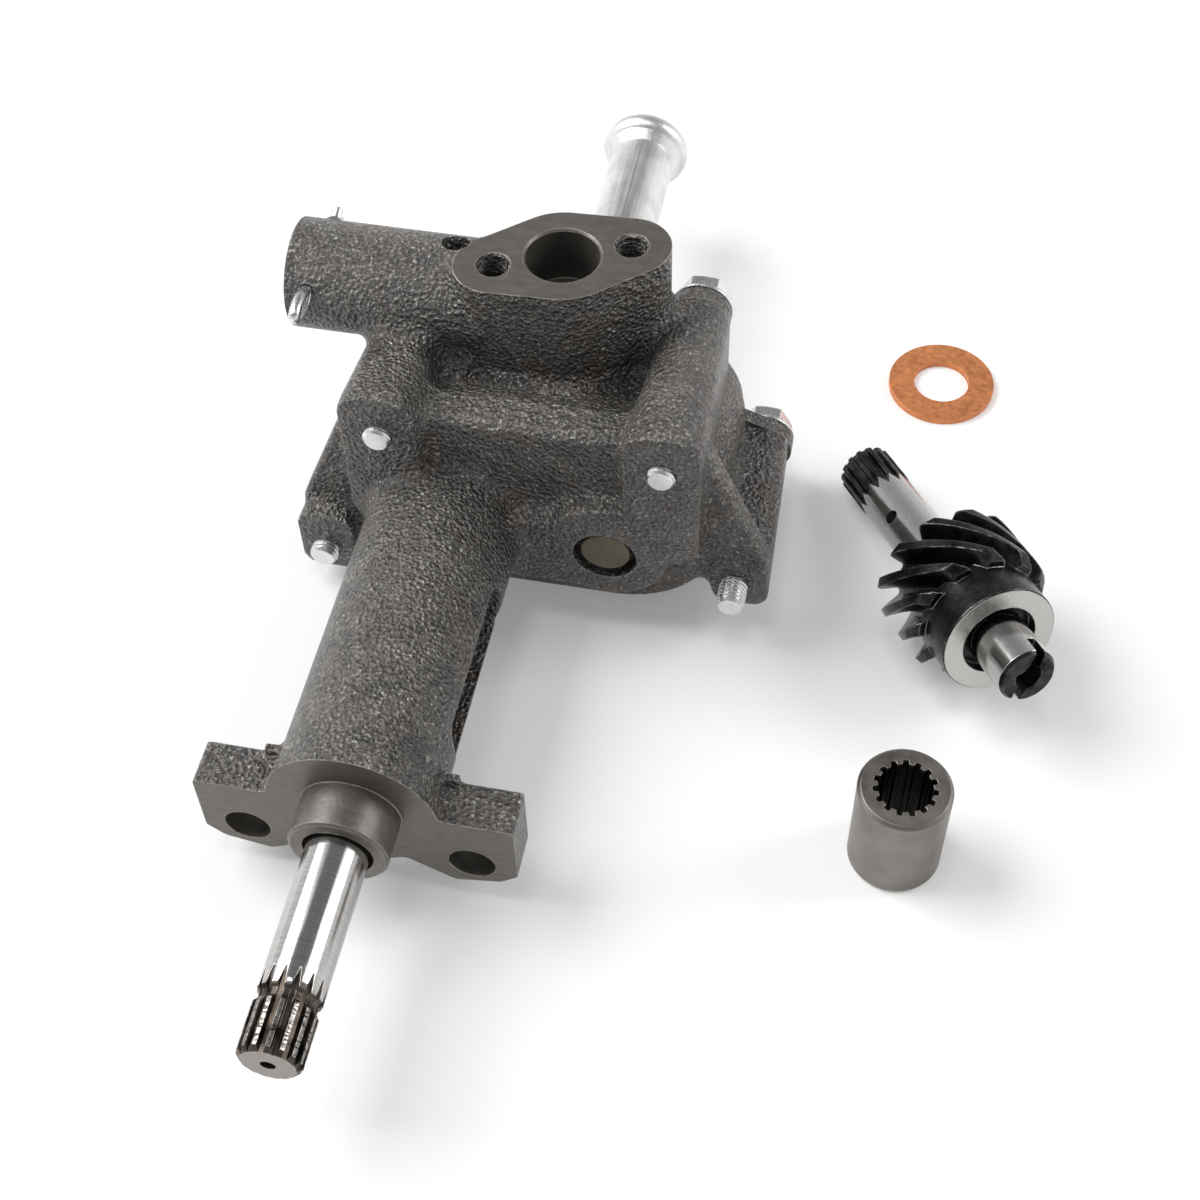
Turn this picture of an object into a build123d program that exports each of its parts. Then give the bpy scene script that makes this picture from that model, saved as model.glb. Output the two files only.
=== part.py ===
"""Engine oil pump of the external-gear type, with the loose pieces that belong to its drive.

The frame has its origin where the shaft axis meets the mounting face. +Y runs rearward along
the shaft, from the splined end to the gears and the pickup tube. +X is to the right and +Z is
up, with the pump lying on a bench. All sizes are in millimetres.
"""
import os
from math import atan2, cos, degrees, pi, radians, sin, sqrt, tan

from build123d import *

os.makedirs("parts", exist_ok=True)

# ---- Drive shaft ----------------------------------------------------------------------------
shaft_d = 16.0
shaft_front_y = -68.0
shaft_end_chamfer = 0.8
running_gap = 0.03
spline_teeth = 15
spline_length = 15.5
spline_depth = 1.25
spline_runout = 5.5
spline_groove_width = 3.5
spline_groove_depth = 1.0
centre_drill_d = 3.0
centre_drill_depth = 4.0

# ---- Mounting end: spigot, ears and hollow sleeve -------------------------------------------
spigot_d = 25.4
spigot_length = 12.2
spigot_chamfer = 0.7
ear_thickness = 12.5
ear_half_width = 41.0
ear_top_z = 1.5
ear_toe_z = -25.7
ear_hole_d = 12.1
ear_hole_x = 29.4
ear_hole_z = -16.2
ear_step_height = 3.5
ear_step_x = 25.0
ear_step_thickness = 2.5
sleeve_d = 42.2
sleeve_root_d = 44.4
sleeve_root_length = 9.0
sleeve_wall = 5.6
sleeve_cavity_start = 17.0
sleeve_cavity_end = 87.0
window_start = 22.0
window_end = 71.0
window_top_z = 6.5
window_bottom_z = -12.0
window_corner = 4.0

# ---- Shaft bushes ---------------------------------------------------------------------------
bush_wall = 1.0
bush_length = 15.0
front_bush_recess = 4.2
cover_bush_length = 9.0

# ---- Gears ----------------------------------------------------------------------------------
gear_module = 3.0
gear_teeth = 15
gear_pressure_angle = 25.0
gear_backlash = 0.6
gear_root_gap = 0.9
gear_tip_gap = 0.15
gear_length = 38.0
gear_end_gap = 0.1
key_width = 5.0
key_height = 5.0
key_length = 26.0
key_seat_depth = 3.0
key_gap = 0.1
idler_pin_d = 13.8
idler_pin_recess = 1.6
idler_recess_d = 17.6
idler_recess_drop = 1.2
idler_bush_wall = 1.6
idler_bush_setback = 1.0

# ---- Gear housing and joint face ------------------------------------------------------------
housing_front_y = 99.5
joint_y = 148.5
joint_face_top_z = 46.0
housing_wall = 3.6
housing_edge_radius = 1.5
block_edge_radius = 3.0
rest_pad_height = 3.15
rest_pad_front_y = 103.5
rest_pad_width = 42.0
block_front_y = 90.8
block_depth = 16.0
block_half_width = 48.5
block_lower_z = -15.6
block_toe_z = -0.5
block_toe_width = 7.0
block_belly_width = 19.0
block_corner = 4.0
idler_face_r = 17.2
pad_height = 5.0
ledge_low_z = 9.5
ledge_high_z = 14.0
ledge_end_z = 18.5
ledge_step_x = 33.0
deck_z = 39.5
deck_flat = 4.0
deck_slope_end_y = 123.0

# ---- Cover bolts, their columns and the gusset webs -----------------------------------------
bolt_d = 8.0
bolt_length = 64.2
bolt_tip_chamfer = 0.9
bolt_hole_gap = 0.12
bolt_head_af = 12.7
bolt_head_height = 6.0
bolt_flange_d = 17.0
bolt_flange_t = 1.6
upper_bolt_z = 34.4
upper_left_bolt_x = -14.9
upper_right_bolt_x = 60.2
lower_left_bolt_x = -36.4
lower_left_bolt_z = -18.6
lower_right_bolt_x = 79.8
lower_right_bolt_z = -13.6
pad_edge_radius = 1.0
column_half_width = 10.4
column_top_z = 48.5
column_rear_radius = 8.5
column_low_z = 5.0
column_corner = 7.5
left_foot_front_y = 92.5
left_foot_outer_x = -43.5
left_foot_top_z = -4.0
left_foot_low_z = -26.0
right_foot_front_y = 97.0
right_foot_outer_x = 89.4
foot_rear_taper = 2.2
right_foot_top_z = -5.0
right_foot_low_z = -21.5
foot_width = 16.0
foot_corner = 5.0
web_front_y = 98.5
web_thickness = 6.0
web_top_z = 36.0

# ---- Outlet pillar --------------------------------------------------------------------------
outlet_x = 25.7
outlet_y = 136.6
outlet_face_z = 63.4
outlet_bore_d = 19.6
outlet_bore_depth = 17.0
outlet_passage_d = 15.0
outlet_chamfer = 0.6
outlet_turn = 21.7
outlet_hole_spacing = 36.6
outlet_thread_d = 8.0
outlet_thread_depth = 12.5
outlet_end_radius = 10.6
outlet_waist_radius = 16.6

# ---- Pressure relief valve ------------------------------------------------------------------
valve_y = 133.6
valve_z = 48.4
valve_outer_d = 29.6
valve_left_x = -46.3
valve_bore_d = 15.6
valve_seat_x = 2.5
valve_passage_d = 8.0
valve_passage_z = 45.0
seat_bore_d = 20.0
seat_bore_depth = 13.0
relief_port_x = -3.0
relief_port_d = 8.0
relief_port_tilt = 15.0
piston_gap = 0.03
piston_length = 18.0
piston_wall = 1.6
piston_crown = 2.4
spring_wire_d = 1.6
spring_turns = 5
spring_side_gap = 0.5
seat_plate_t = 3.0
seat_plate_gap = 0.1
split_pin_d = 3.2
split_pin_x = -40.0
split_pin_height = 6.7
split_pin_gap = 0.2
split_pin_eye_length = 12.0
split_pin_eye_width = 6.0
split_pin_eye_gap = 0.4
split_pin_leg_length = 3.6
split_pin_leg_spread = 14.0

# ---- Rear cover -----------------------------------------------------------------------------
cover_thickness = 5.0
cover_edge_chamfer = 0.8
cover_inset = 1.2
cover_bolt_boss_r = 8.5
hub_boss_height = 8.0
hub_boss_d = 26.0
idler_boss_d = 22.0
blind_floor = 3.0
shaft_end_gap = 0.5
pin_cover_gap = 0.02
dowel_d = 11.0
dowel_wall = 1.1
dowel_length = 7.0
suction_pocket_depth = 4.0
suction_pocket_low_z = -13.0
suction_pocket_top_z = -2.0
suction_pocket_width = 15.0
suction_skin = 3.0

# ---- Pickup tube ----------------------------------------------------------------------------
tube_x = 25.3
tube_z = 2.0
tube_d = 19.8
tube_wall = 1.5
tube_end_y = 258.0
tube_socket_depth = 14.0
tube_boss_height = 18.0
tube_boss_d = 29.0
bead_d = 27.0
bead_width = 8.0
bead_lip_radius = 3.2

# ---- Coupling sleeve standing on the bench --------------------------------------------------
coupling_x = 132.7
coupling_y = 32.9
coupling_d = 24.0
coupling_length = 31.3
coupling_chamfer = 0.9
coupling_spline_gap = 0.2

# ---- Pinion shaft and helical gear lying on the bench ---------------------------------------
pinion_x = 109.9
pinion_y = 156.1
pinion_heading = -59.1
pinion_length = 100.2
pinion_spline_length = 14.5
pinion_end_d = 16.4
pinion_end_length = 4.0
pinion_neck_length = 1.2
pinion_slot_width = 4.6
pinion_slot_depth = 6.0
pinion_bore_d = 8.0
pinion_oil_hole_d = 4.0
pinion_oil_hole_at = 30.5
pinion_oil_hole_turn = 138.0
pinion_slot_turn = 45.0
helical_start = 52.2
helical_length = 25.8
helical_teeth = 13
helical_outer_d = 40.7
helical_tooth_height = 6.3
helical_angle = 42.0
hub_d = 32.4
hub_overlap = 3.0
hub_end = 84.3
hub_recess_d = 21.0
hub_recess_depth = 3.5

# ---- Thrust washer lying on the bench -------------------------------------------------------
washer_x = 128.7
washer_y = 201.4
washer_outer_d = 32.2
washer_inner_d = 16.8
washer_t = 2.0

# ---- Sizes worked out from the ones above ---------------------------------------------------
shaft_r = shaft_d / 2
bush_bore_r = shaft_r + running_gap
bush_outer_r = bush_bore_r + bush_wall
sleeve_cavity_r = sleeve_d / 2 - sleeve_wall
gear_pitch_r = gear_module * gear_teeth / 2
gear_tip_r = gear_pitch_r + gear_module
centre_distance = 2 * gear_pitch_r
chamber_r = gear_tip_r + gear_tip_gap
housing_r = chamber_r + housing_wall
bench_z = -housing_r - rest_pad_height
chamber_front_y = joint_y - gear_length - 2 * gear_end_gap
gear_front_y = chamber_front_y + gear_end_gap
idler_pin_r = idler_pin_d / 2
cover_rear_y = joint_y + cover_thickness
hub_boss_rear_y = cover_rear_y + hub_boss_height
tube_boss_rear_y = cover_rear_y + tube_boss_height
blind_bore_y = hub_boss_rear_y - blind_floor
shaft_rear_y = blind_bore_y - shaft_end_gap
tube_r = tube_d / 2
tube_front_y = tube_boss_rear_y - tube_socket_depth
mid_x = centre_distance / 2
bolt_hole_d = bolt_d + 2 * bolt_hole_gap
upper_left_bolt = (upper_left_bolt_x, upper_bolt_z)
upper_right_bolt = (upper_right_bolt_x, upper_bolt_z)
lower_left_bolt = (lower_left_bolt_x, lower_left_bolt_z)
lower_right_bolt = (lower_right_bolt_x, lower_right_bolt_z)
bolt_places = [upper_left_bolt, upper_right_bolt, lower_left_bolt, lower_right_bolt]
dowel_places = [upper_left_bolt, lower_right_bolt]
valve_outer_r = valve_outer_d / 2
valve_bore_r = valve_bore_d / 2
idler_axis = Axis((centre_distance, 0, 0), (0, 1, 0))
tube_axis = Axis((tube_x, 0, tube_z), (0, 1, 0))
outlet_plane = Plane((outlet_x, outlet_y, outlet_face_z)).rotated((0, 0, outlet_turn))
outlet_left_hole_x = outlet_x - outlet_hole_spacing / 2 * cos(radians(outlet_turn))
outlet_bore_low_z = gear_pitch_r / 2


def across(y):
    """Plane square to the shaft at station y. A positive extrude goes towards the drive end."""
    return Plane.XZ.offset(-y)


def valve_ray(x, angle):
    """Plane on the valve axis at x, facing outwards at an angle up from the drive-end side."""
    outward = (0, -cos(radians(angle)), sin(radians(angle)))
    return Plane(origin=(x, valve_y, valve_z), x_dir=(1, 0, 0), z_dir=outward)


def write(part, name):
    """Label a finished piece and write its STEP file."""
    part.label = name
    export_step(part, f"parts/{name}.step")


def tooth_half_angle(r, teeth, module, pressure_angle, backlash):
    """Half the angle an involute tooth fills at radius r."""
    pitch_r = teeth * module / 2
    base_r = pitch_r * cos(radians(pressure_angle))
    at_pitch = (pi * module / 2 - backlash / 2) / (2 * pitch_r)
    alpha = radians(pressure_angle)
    roll = sqrt(max(r * r - base_r * base_r, 0)) / base_r
    return at_pitch + (tan(alpha) - alpha) - (roll - atan2(roll, 1))


def on_circle(r, angle):
    """Point at radius r and an angle in radians."""
    return (r * cos(angle), r * sin(angle))


def spur_gear_face(plane, first_tooth_deg):
    """Toothed outline of a pump gear on a plane, its first tooth at the given angle."""
    root_r = gear_pitch_r - gear_module - gear_root_gap
    base_r = gear_pitch_r * cos(radians(gear_pressure_angle))
    flank_radii = [base_r + (gear_tip_r - base_r) * step / 3 for step in range(4)]
    half = [
        tooth_half_angle(r, gear_teeth, gear_module, gear_pressure_angle, gear_backlash)
        for r in flank_radii
    ]
    right = [on_circle(r, -a) for r, a in zip(flank_radii, half)]
    left = [on_circle(r, a) for r, a in zip(flank_radii, half)]
    right_root = on_circle(root_r, -half[0])
    left_root = on_circle(root_r, half[0])
    with BuildSketch() as tooth:
        with BuildLine():
            Polyline(*right)
            ThreePointArc(right[-1], (gear_tip_r, 0), left[-1])
            Polyline(*reversed(left))
            Polyline(left[0], left_root, (0, 0), right_root, right[0])
        make_face()
    with BuildSketch(plane) as outline:
        Circle(root_r)
        with PolarLocations(0, gear_teeth, first_tooth_deg):
            add(tooth.sketch)
    return outline.sketch


def spline_tooth(r_outer, depth, teeth, root_share, tip_share):
    """Corner points of one straight-sided tooth, reaching just below its root circle."""
    pitch = 2 * pi / teeth
    r_root = r_outer - depth
    inside = 0.9 * r_root
    root_half = root_share * pitch / 2
    tip_half = tip_share * pitch / 2
    return [
        (inside * cos(root_half), -inside * sin(root_half)),
        on_circle(r_root, -root_half),
        on_circle(r_outer, -tip_half),
        on_circle(r_outer, tip_half),
        on_circle(r_root, root_half),
        (inside * cos(root_half), inside * sin(root_half)),
    ]


def spline_space(r_outer, depth, teeth, root_share, mouth_share):
    """Corner points of one gap between spline teeth, centred on the local X axis."""
    pitch = 2 * pi / teeth
    r_root = r_outer - depth
    root_half = root_share * pitch / 2
    mouth_half = mouth_share * pitch / 2
    mouth = 1.12 * r_outer
    return [
        on_circle(r_root, -root_half),
        on_circle(r_outer, -mouth_half),
        (mouth * cos(mouth_half), -mouth * sin(mouth_half)),
        (mouth * cos(mouth_half), mouth * sin(mouth_half)),
        on_circle(r_outer, mouth_half),
        on_circle(r_root, root_half),
    ]


# ---- Pump body: one iron casting ------------------------------------------------------------
with BuildSketch() as block_face:
    with BuildLine():
        Polyline(
            (mid_x, deck_z),
            (mid_x + block_half_width, deck_z),
            (mid_x + block_half_width, block_toe_z),
            (mid_x + block_half_width - block_toe_width, block_toe_z),
            (mid_x + block_half_width - block_belly_width, block_lower_z),
            (mid_x, block_lower_z),
        )
        mirror(about=Plane.YZ.offset(mid_x))
    make_face()
    fillet(block_face.vertices().group_by(Axis.Y)[0], block_corner)
with BuildPart() as front_block:
    with BuildSketch(across(block_front_y + block_depth)):
        add(block_face.sketch)
    extrude(amount=block_depth - pad_height)
    fillet(front_block.edges().group_by(Axis.Y)[0], radius=block_edge_radius)

with BuildPart() as front_pads:
    with BuildSketch(across(block_front_y + pad_height)):
        with Locations(
            (upper_left_bolt_x, (column_top_z + block_toe_z) / 2),
            (upper_right_bolt_x, (column_top_z + block_toe_z) / 2),
        ):
            RectangleRounded(2 * column_half_width, column_top_z - block_toe_z, column_corner)
        with Locations((centre_distance, 0)):
            Circle(idler_face_r)
        with BuildLine():
            Polyline(
                (upper_left_bolt_x, ledge_low_z),
                (ledge_step_x, ledge_low_z),
                (ledge_step_x + 4, ledge_high_z),
                (upper_right_bolt_x - column_half_width, ledge_end_z),
                (upper_right_bolt_x, ledge_end_z),
                (upper_right_bolt_x, block_toe_z),
                (mid_x + block_half_width - block_belly_width, block_lower_z),
                (mid_x - block_half_width + block_belly_width, block_lower_z),
                (upper_left_bolt_x, block_toe_z),
                close=True,
            )
        make_face()
    extrude(amount=pad_height)
    fillet(front_pads.edges().group_by(Axis.Y)[0], radius=pad_edge_radius)

with BuildPart() as pump_body:
    # Mounting ears, drawn on their rear face and extruded forward to the mounting face.
    with BuildSketch(across(ear_thickness)) as ears:
        with BuildLine():
            Polyline(
                (0, ear_top_z),
                (ear_half_width, ear_top_z),
                (ear_half_width, ear_hole_z - 3),
                (ear_half_width - 4.5, ear_toe_z + 2.5),
                (ear_hole_x - 5, ear_toe_z),
                (spigot_d / 2, -sleeve_d / 2 + 2),
                (0, -sleeve_d / 2 + 2),
                close=True,
            )
        make_face()
        mirror(about=Plane.YZ)
    extrude(amount=ear_thickness)
    # Low steps on top of the ears, beside the sleeve.
    with BuildSketch(across(ear_thickness)):
        with Locations((0, ear_top_z + ear_step_height / 2)):
            Rectangle(2 * ear_step_x, ear_step_height)
    extrude(amount=ear_step_thickness)
    # Sleeve with its flared root, and the turned spigot.
    with BuildSketch(Plane.XY):
        with BuildLine():
            Polyline(
                (0, -spigot_length),
                (spigot_d / 2 - spigot_chamfer, -spigot_length),
                (spigot_d / 2, -spigot_length + spigot_chamfer),
                (spigot_d / 2, 0),
                (sleeve_root_d / 2, 0),
                (sleeve_d / 2, sleeve_root_length),
                (sleeve_d / 2, housing_front_y),
                (0, housing_front_y),
                close=True,
            )
        make_face()
    revolve(axis=Axis.Y)
    # Gear housing: a stadium around the two gears.
    with BuildSketch(across(joint_y)):
        with Locations((mid_x, 0)):
            SlotCenterToCenter(centre_distance, 2 * housing_r)
    extrude(amount=joint_y - housing_front_y)
    fillet(
        edges(Select.LAST).group_by(Axis.Y)[0],
        radius=housing_edge_radius,
    )
    # Flat pad under the housing, on which the pump stands.
    with BuildSketch(Plane.XY.offset(bench_z)):
        with Locations((mid_x, (rest_pad_front_y + joint_y) / 2)):
            Rectangle(rest_pad_width, joint_y - rest_pad_front_y)
    extrude(amount=rest_pad_height + housing_wall / 2)
    # Casting behind the pads, its lower corners cut back towards the idler and the shaft.
    add(front_block.part)
    # Deck over the gears, sloping down from the front wall to the gear housing.
    with BuildSketch(Plane.YZ.offset(upper_left_bolt_x)) as deck:
        with BuildLine():
            Polyline(
                (block_front_y + pad_height, 0),
                (block_front_y + pad_height, deck_z),
                (block_front_y + pad_height + deck_flat, deck_z),
                (deck_slope_end_y, housing_r),
                (deck_slope_end_y, 0),
                close=True,
            )
        make_face()
        fillet(deck.vertices().group_by(Axis.Y)[-1].sort_by(Axis.X)[0], radius=block_edge_radius)
    extrude(amount=upper_right_bolt_x - upper_left_bolt_x)
    # Upper bolt columns, wide and tall at the front and close round the bolt at the joint face.
    for bolt_x, bolt_z in (upper_left_bolt, upper_right_bolt):
        rear_top_z = bolt_z + column_rear_radius
        for station, half_width, top_z in (
            (joint_y, column_rear_radius, rear_top_z),
            (block_front_y + pad_height, column_half_width, column_top_z),
        ):
            with BuildSketch(across(station)):
                with Locations((bolt_x, (top_z + column_low_z) / 2)):
                    RectangleRounded(2 * half_width, top_z - column_low_z, column_corner)
        loft()
    # Lower bolt columns, one at each bottom corner, narrowing a little towards the joint face.
    for outer_x, inward, low_z, top_z, front_y in (
        (left_foot_outer_x, 1, left_foot_low_z, left_foot_top_z, left_foot_front_y),
        (right_foot_outer_x, -1, right_foot_low_z, right_foot_top_z, right_foot_front_y),
    ):
        for station, taper in ((joint_y, foot_rear_taper), (front_y, 0)):
            with BuildSketch(across(station)):
                with Locations((outer_x + inward * (foot_width + taper) / 2, (low_z + top_z) / 2)):
                    RectangleRounded(foot_width - taper, top_z - low_z, foot_corner)
        loft()
    # Gusset webs from the upper columns down to the lower ones.
    with BuildSketch(across(web_front_y + web_thickness)):
        with BuildLine():
            Polyline(
                (upper_right_bolt_x, web_top_z),
                (mid_x + block_half_width, web_top_z),
                (right_foot_outer_x - 1, right_foot_top_z + 1),
                (right_foot_outer_x - 1, lower_right_bolt_z),
                (upper_right_bolt_x, lower_right_bolt_z),
                close=True,
            )
        make_face()
        with BuildLine():
            Polyline(
                (upper_left_bolt_x, web_top_z),
                (mid_x - block_half_width, web_top_z),
                (left_foot_outer_x + 1, left_foot_top_z + 1),
                (left_foot_outer_x + 1, lower_left_bolt_z),
                (upper_left_bolt_x, lower_left_bolt_z),
                close=True,
            )
        make_face()
    extrude(amount=web_thickness)
    # Flat faces round the upper bolts and the idler, standing proud of the casting.
    add(front_pads.part)
    # Outlet pillar, a waisted flange shape extruded down from its machined top face.
    with BuildSketch(outlet_plane):
        with Locations((-outlet_hole_spacing / 2, 0), (outlet_hole_spacing / 2, 0)):
            Circle(outlet_end_radius)
        Circle(outlet_waist_radius)
        make_hull()
    extrude(amount=-(outlet_face_z - gear_pitch_r))
    # Relief valve barrel, running left from the outlet passage.
    with BuildSketch(Plane.YZ.offset(valve_left_x)):
        with Locations((valve_y, valve_z)):
            Circle(valve_outer_r)
    extrude(amount=outlet_left_hole_x - valve_left_x)
    # Gear chamber, open at the joint face.
    with BuildSketch(across(joint_y)):
        with Locations((0, 0), (centre_distance, 0)):
            Circle(chamber_r)
    extrude(amount=joint_y - chamber_front_y, mode=Mode.SUBTRACT)
    # Shaft bore for the two wrapped bushes, and the hollow of the sleeve between them.
    with BuildSketch(Plane.XY):
        with BuildLine():
            Polyline(
                (0, -spigot_length),
                (bush_outer_r, -spigot_length),
                (bush_outer_r, sleeve_cavity_start),
                (sleeve_cavity_r, sleeve_cavity_start + 4),
                (sleeve_cavity_r, sleeve_cavity_end - 4),
                (bush_outer_r, sleeve_cavity_end),
                (bush_outer_r, chamber_front_y),
                (0, chamber_front_y),
                close=True,
            )
        make_face()
    revolve(axis=Axis.Y, mode=Mode.SUBTRACT)
    # Window in the right-hand side of the sleeve.
    with BuildSketch(Plane.YZ):
        with Locations(((window_start + window_end) / 2, (window_top_z + window_bottom_z) / 2)):
            RectangleRounded(window_end - window_start, window_top_z - window_bottom_z, window_corner)
    extrude(amount=sleeve_d, mode=Mode.SUBTRACT)
    # Idler pin bore, and the round recess its end shows in, cast a little low.
    with Locations(across(block_front_y).location * Pos(centre_distance, 0, 0)):
        Hole(idler_pin_r, chamber_front_y - block_front_y + 1)
    with Locations(across(block_front_y).location * Pos(centre_distance, -idler_recess_drop, 0)):
        Hole(idler_recess_d / 2, idler_pin_recess)
    # Ear holes and cover bolt holes.
    with Locations(*[across(0).location * Pos(side * ear_hole_x, ear_hole_z, 0) for side in (-1, 1)]):
        Hole(ear_hole_d / 2, ear_thickness + 1)
    with BuildSketch(across(joint_y)):
        with Locations(*bolt_places):
            Circle(bolt_hole_d / 2)
    extrude(amount=joint_y - block_front_y + 1, mode=Mode.SUBTRACT)
    # Counterbores for the ring dowels in the joint face.
    with BuildSketch(across(joint_y)):
        with Locations(*dowel_places):
            Circle(dowel_d / 2)
    extrude(amount=dowel_length / 2, mode=Mode.SUBTRACT)
    # Outlet bore down to the meshing side of the chamber, and the two threaded holes.
    with Locations(Plane((outlet_x, outlet_y, outlet_face_z))):
        Hole(outlet_bore_d / 2, outlet_bore_depth)
        Hole(outlet_passage_d / 2, outlet_face_z - outlet_bore_low_z)
    with Locations(outlet_plane.location):
        with Locations((-outlet_hole_spacing / 2, 0), (outlet_hole_spacing / 2, 0)):
            Hole(outlet_thread_d / 2, outlet_thread_depth)
    mouths = pump_body.edges().filter_by(GeomType.CIRCLE).group_by(Axis.Z)[-1]
    chamfer([edge for edge in mouths if edge.radius < outlet_end_radius], outlet_chamfer)
    # Valve bore with its seat, and the relief port in the top of the barrel.
    with BuildSketch(Plane.YZ.offset(valve_left_x)):
        with Locations((valve_y, valve_z)):
            Circle(valve_bore_r)
    extrude(amount=valve_seat_x - valve_left_x, mode=Mode.SUBTRACT)
    with BuildSketch(Plane.YZ.offset(valve_seat_x)):
        with Locations((valve_y, valve_passage_z)):
            Circle(valve_passage_d / 2)
    extrude(amount=outlet_x - valve_seat_x, mode=Mode.SUBTRACT)
    with BuildSketch(valve_ray(relief_port_x, 90 + relief_port_tilt)):
        Circle(relief_port_d / 2)
    extrude(amount=2 * valve_outer_r, mode=Mode.SUBTRACT)
    # Spring seat bore at the open end, and the cross hole of the split pin above its centre.
    with BuildSketch(Plane.YZ.offset(valve_left_x)):
        with Locations((valve_y, valve_z)):
            Circle(seat_bore_d / 2)
    extrude(amount=seat_bore_depth, mode=Mode.SUBTRACT)
    with BuildSketch(across(valve_y)):
        with Locations((split_pin_x, valve_z + split_pin_height)):
            Circle(split_pin_d / 2 + split_pin_gap)
    extrude(amount=valve_outer_r, both=True, mode=Mode.SUBTRACT)
    # Joint face, milled flat past the outlet pillar so that the cover seats.
    with BuildSketch(across(joint_y)):
        with Locations((mid_x, joint_face_top_z - housing_r)):
            Rectangle(4 * housing_r, 2 * housing_r)
    extrude(amount=-hub_boss_height, mode=Mode.SUBTRACT)
write(pump_body.part, "pump_body")


# ---- Wrapped bushes: two in the body, one in the cover --------------------------------------
for bush_name, bush_front, length in (
    ("front_bush", front_bush_recess - spigot_length, bush_length),
    ("rear_bush", chamber_front_y - bush_length, bush_length),
    ("cover_bush", joint_y + shaft_end_gap, cover_bush_length),
):
    with BuildPart() as bush:
        with BuildSketch(across(bush_front + length)):
            Circle(bush_outer_r)
            Circle(bush_bore_r, mode=Mode.SUBTRACT)
        extrude(amount=length)
    write(bush.part, bush_name)


# ---- Drive shaft: splined at the drive end, keyed to the gear -------------------------------
key_front_y = gear_front_y + (gear_length - key_length) / 2
spline_end_y = shaft_front_y + spline_length + spline_groove_width
with BuildPart() as drive_shaft:
    with BuildSketch(Plane.XY):
        with BuildLine():
            Polyline(
                (0, shaft_front_y),
                (shaft_r - shaft_end_chamfer, shaft_front_y),
                (shaft_r, shaft_front_y + shaft_end_chamfer),
                (shaft_r, shaft_front_y + spline_length),
                (shaft_r - spline_groove_depth, shaft_front_y + spline_length + spline_groove_depth),
                (shaft_r - spline_groove_depth, spline_end_y - spline_groove_depth),
                (shaft_r, spline_end_y),
                (shaft_r, shaft_rear_y - shaft_end_chamfer),
                (shaft_r - shaft_end_chamfer, shaft_rear_y),
                (0, shaft_rear_y),
                close=True,
            )
        make_face()
    revolve(axis=Axis.Y)
    with BuildSketch(across(shaft_front_y)):
        Circle(centre_drill_d / 2)
    extrude(amount=-centre_drill_depth, mode=Mode.SUBTRACT)
    # Spline spaces, straight to the groove's far side and then running out to the surface.
    with BuildSketch(across(spline_end_y)):
        with PolarLocations(0, spline_teeth):
            Polygon(*spline_space(shaft_r, spline_depth, spline_teeth, 0.42, 0.62), align=None)
    extrude(amount=spline_end_y - shaft_front_y, mode=Mode.SUBTRACT)
    for space in range(spline_teeth):
        turn = 360 / spline_teeth * space
        with BuildSketch(across(spline_end_y).rotated((0, 0, turn))):
            Polygon(*spline_space(shaft_r, spline_depth, spline_teeth, 0.42, 0.62), align=None)
        with BuildSketch(across(spline_end_y + spline_runout).rotated((0, 0, turn))):
            Polygon(*spline_space(shaft_r, 0, spline_teeth, 0.05, 0.1), align=None)
        loft(mode=Mode.SUBTRACT)
    # Key seat under the gear.
    with BuildSketch(Plane.XY.offset(shaft_r - key_seat_depth)):
        with Locations((0, key_front_y + key_length / 2)):
            Rectangle(key_width, key_length)
    extrude(amount=key_seat_depth + 1, mode=Mode.SUBTRACT)
write(drive_shaft.part, "drive_shaft")

with BuildPart() as drive_gear_key:
    with BuildSketch(Plane.XY.offset(shaft_r - key_seat_depth)):
        with Locations((0, key_front_y + key_length / 2)):
            Rectangle(key_width, key_length)
    extrude(amount=key_height)
write(drive_gear_key.part, "drive_gear_key")


# ---- Pump gears, in mesh with a tooth of the drive gear on the line of centres --------------
with BuildPart() as drive_gear:
    with BuildSketch(across(gear_front_y + gear_length)):
        add(spur_gear_face(Plane.XY, 0))
        Circle(shaft_r, mode=Mode.SUBTRACT)
        with Locations((0, shaft_r - key_seat_depth + (key_height + key_gap) / 2)):
            Rectangle(key_width, key_height + key_gap, mode=Mode.SUBTRACT)
    extrude(amount=gear_length)
write(drive_gear.part, "drive_gear")

idler_bush_bore_r = idler_pin_r + running_gap
idler_bush_outer_r = idler_bush_bore_r + idler_bush_wall
with BuildPart() as idler_gear:
    with BuildSketch(across(gear_front_y + gear_length)):
        with Locations((centre_distance, 0)):
            add(spur_gear_face(Plane.XY, 180 + 180 / gear_teeth))
            Circle(idler_bush_outer_r, mode=Mode.SUBTRACT)
    extrude(amount=gear_length)
write(idler_gear.part, "idler_gear")

with BuildPart() as idler_bush:
    with BuildSketch(across(gear_front_y + gear_length - idler_bush_setback)):
        with Locations((centre_distance, 0)):
            Circle(idler_bush_outer_r)
            Circle(idler_bush_bore_r, mode=Mode.SUBTRACT)
    extrude(amount=gear_length - 2 * idler_bush_setback)
write(idler_bush.part, "idler_bush")

idler_pin_front_y = block_front_y + idler_pin_recess / 4
with BuildPart() as idler_pin:
    with BuildSketch(across(blind_bore_y - shaft_end_gap)):
        with Locations((centre_distance, 0)):
            Circle(idler_pin_r)
    extrude(amount=blind_bore_y - shaft_end_gap - idler_pin_front_y)
    chamfer(idler_pin.edges().filter_by(GeomType.CIRCLE), shaft_end_chamfer / 2)
write(idler_pin.part, "idler_pin")


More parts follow.
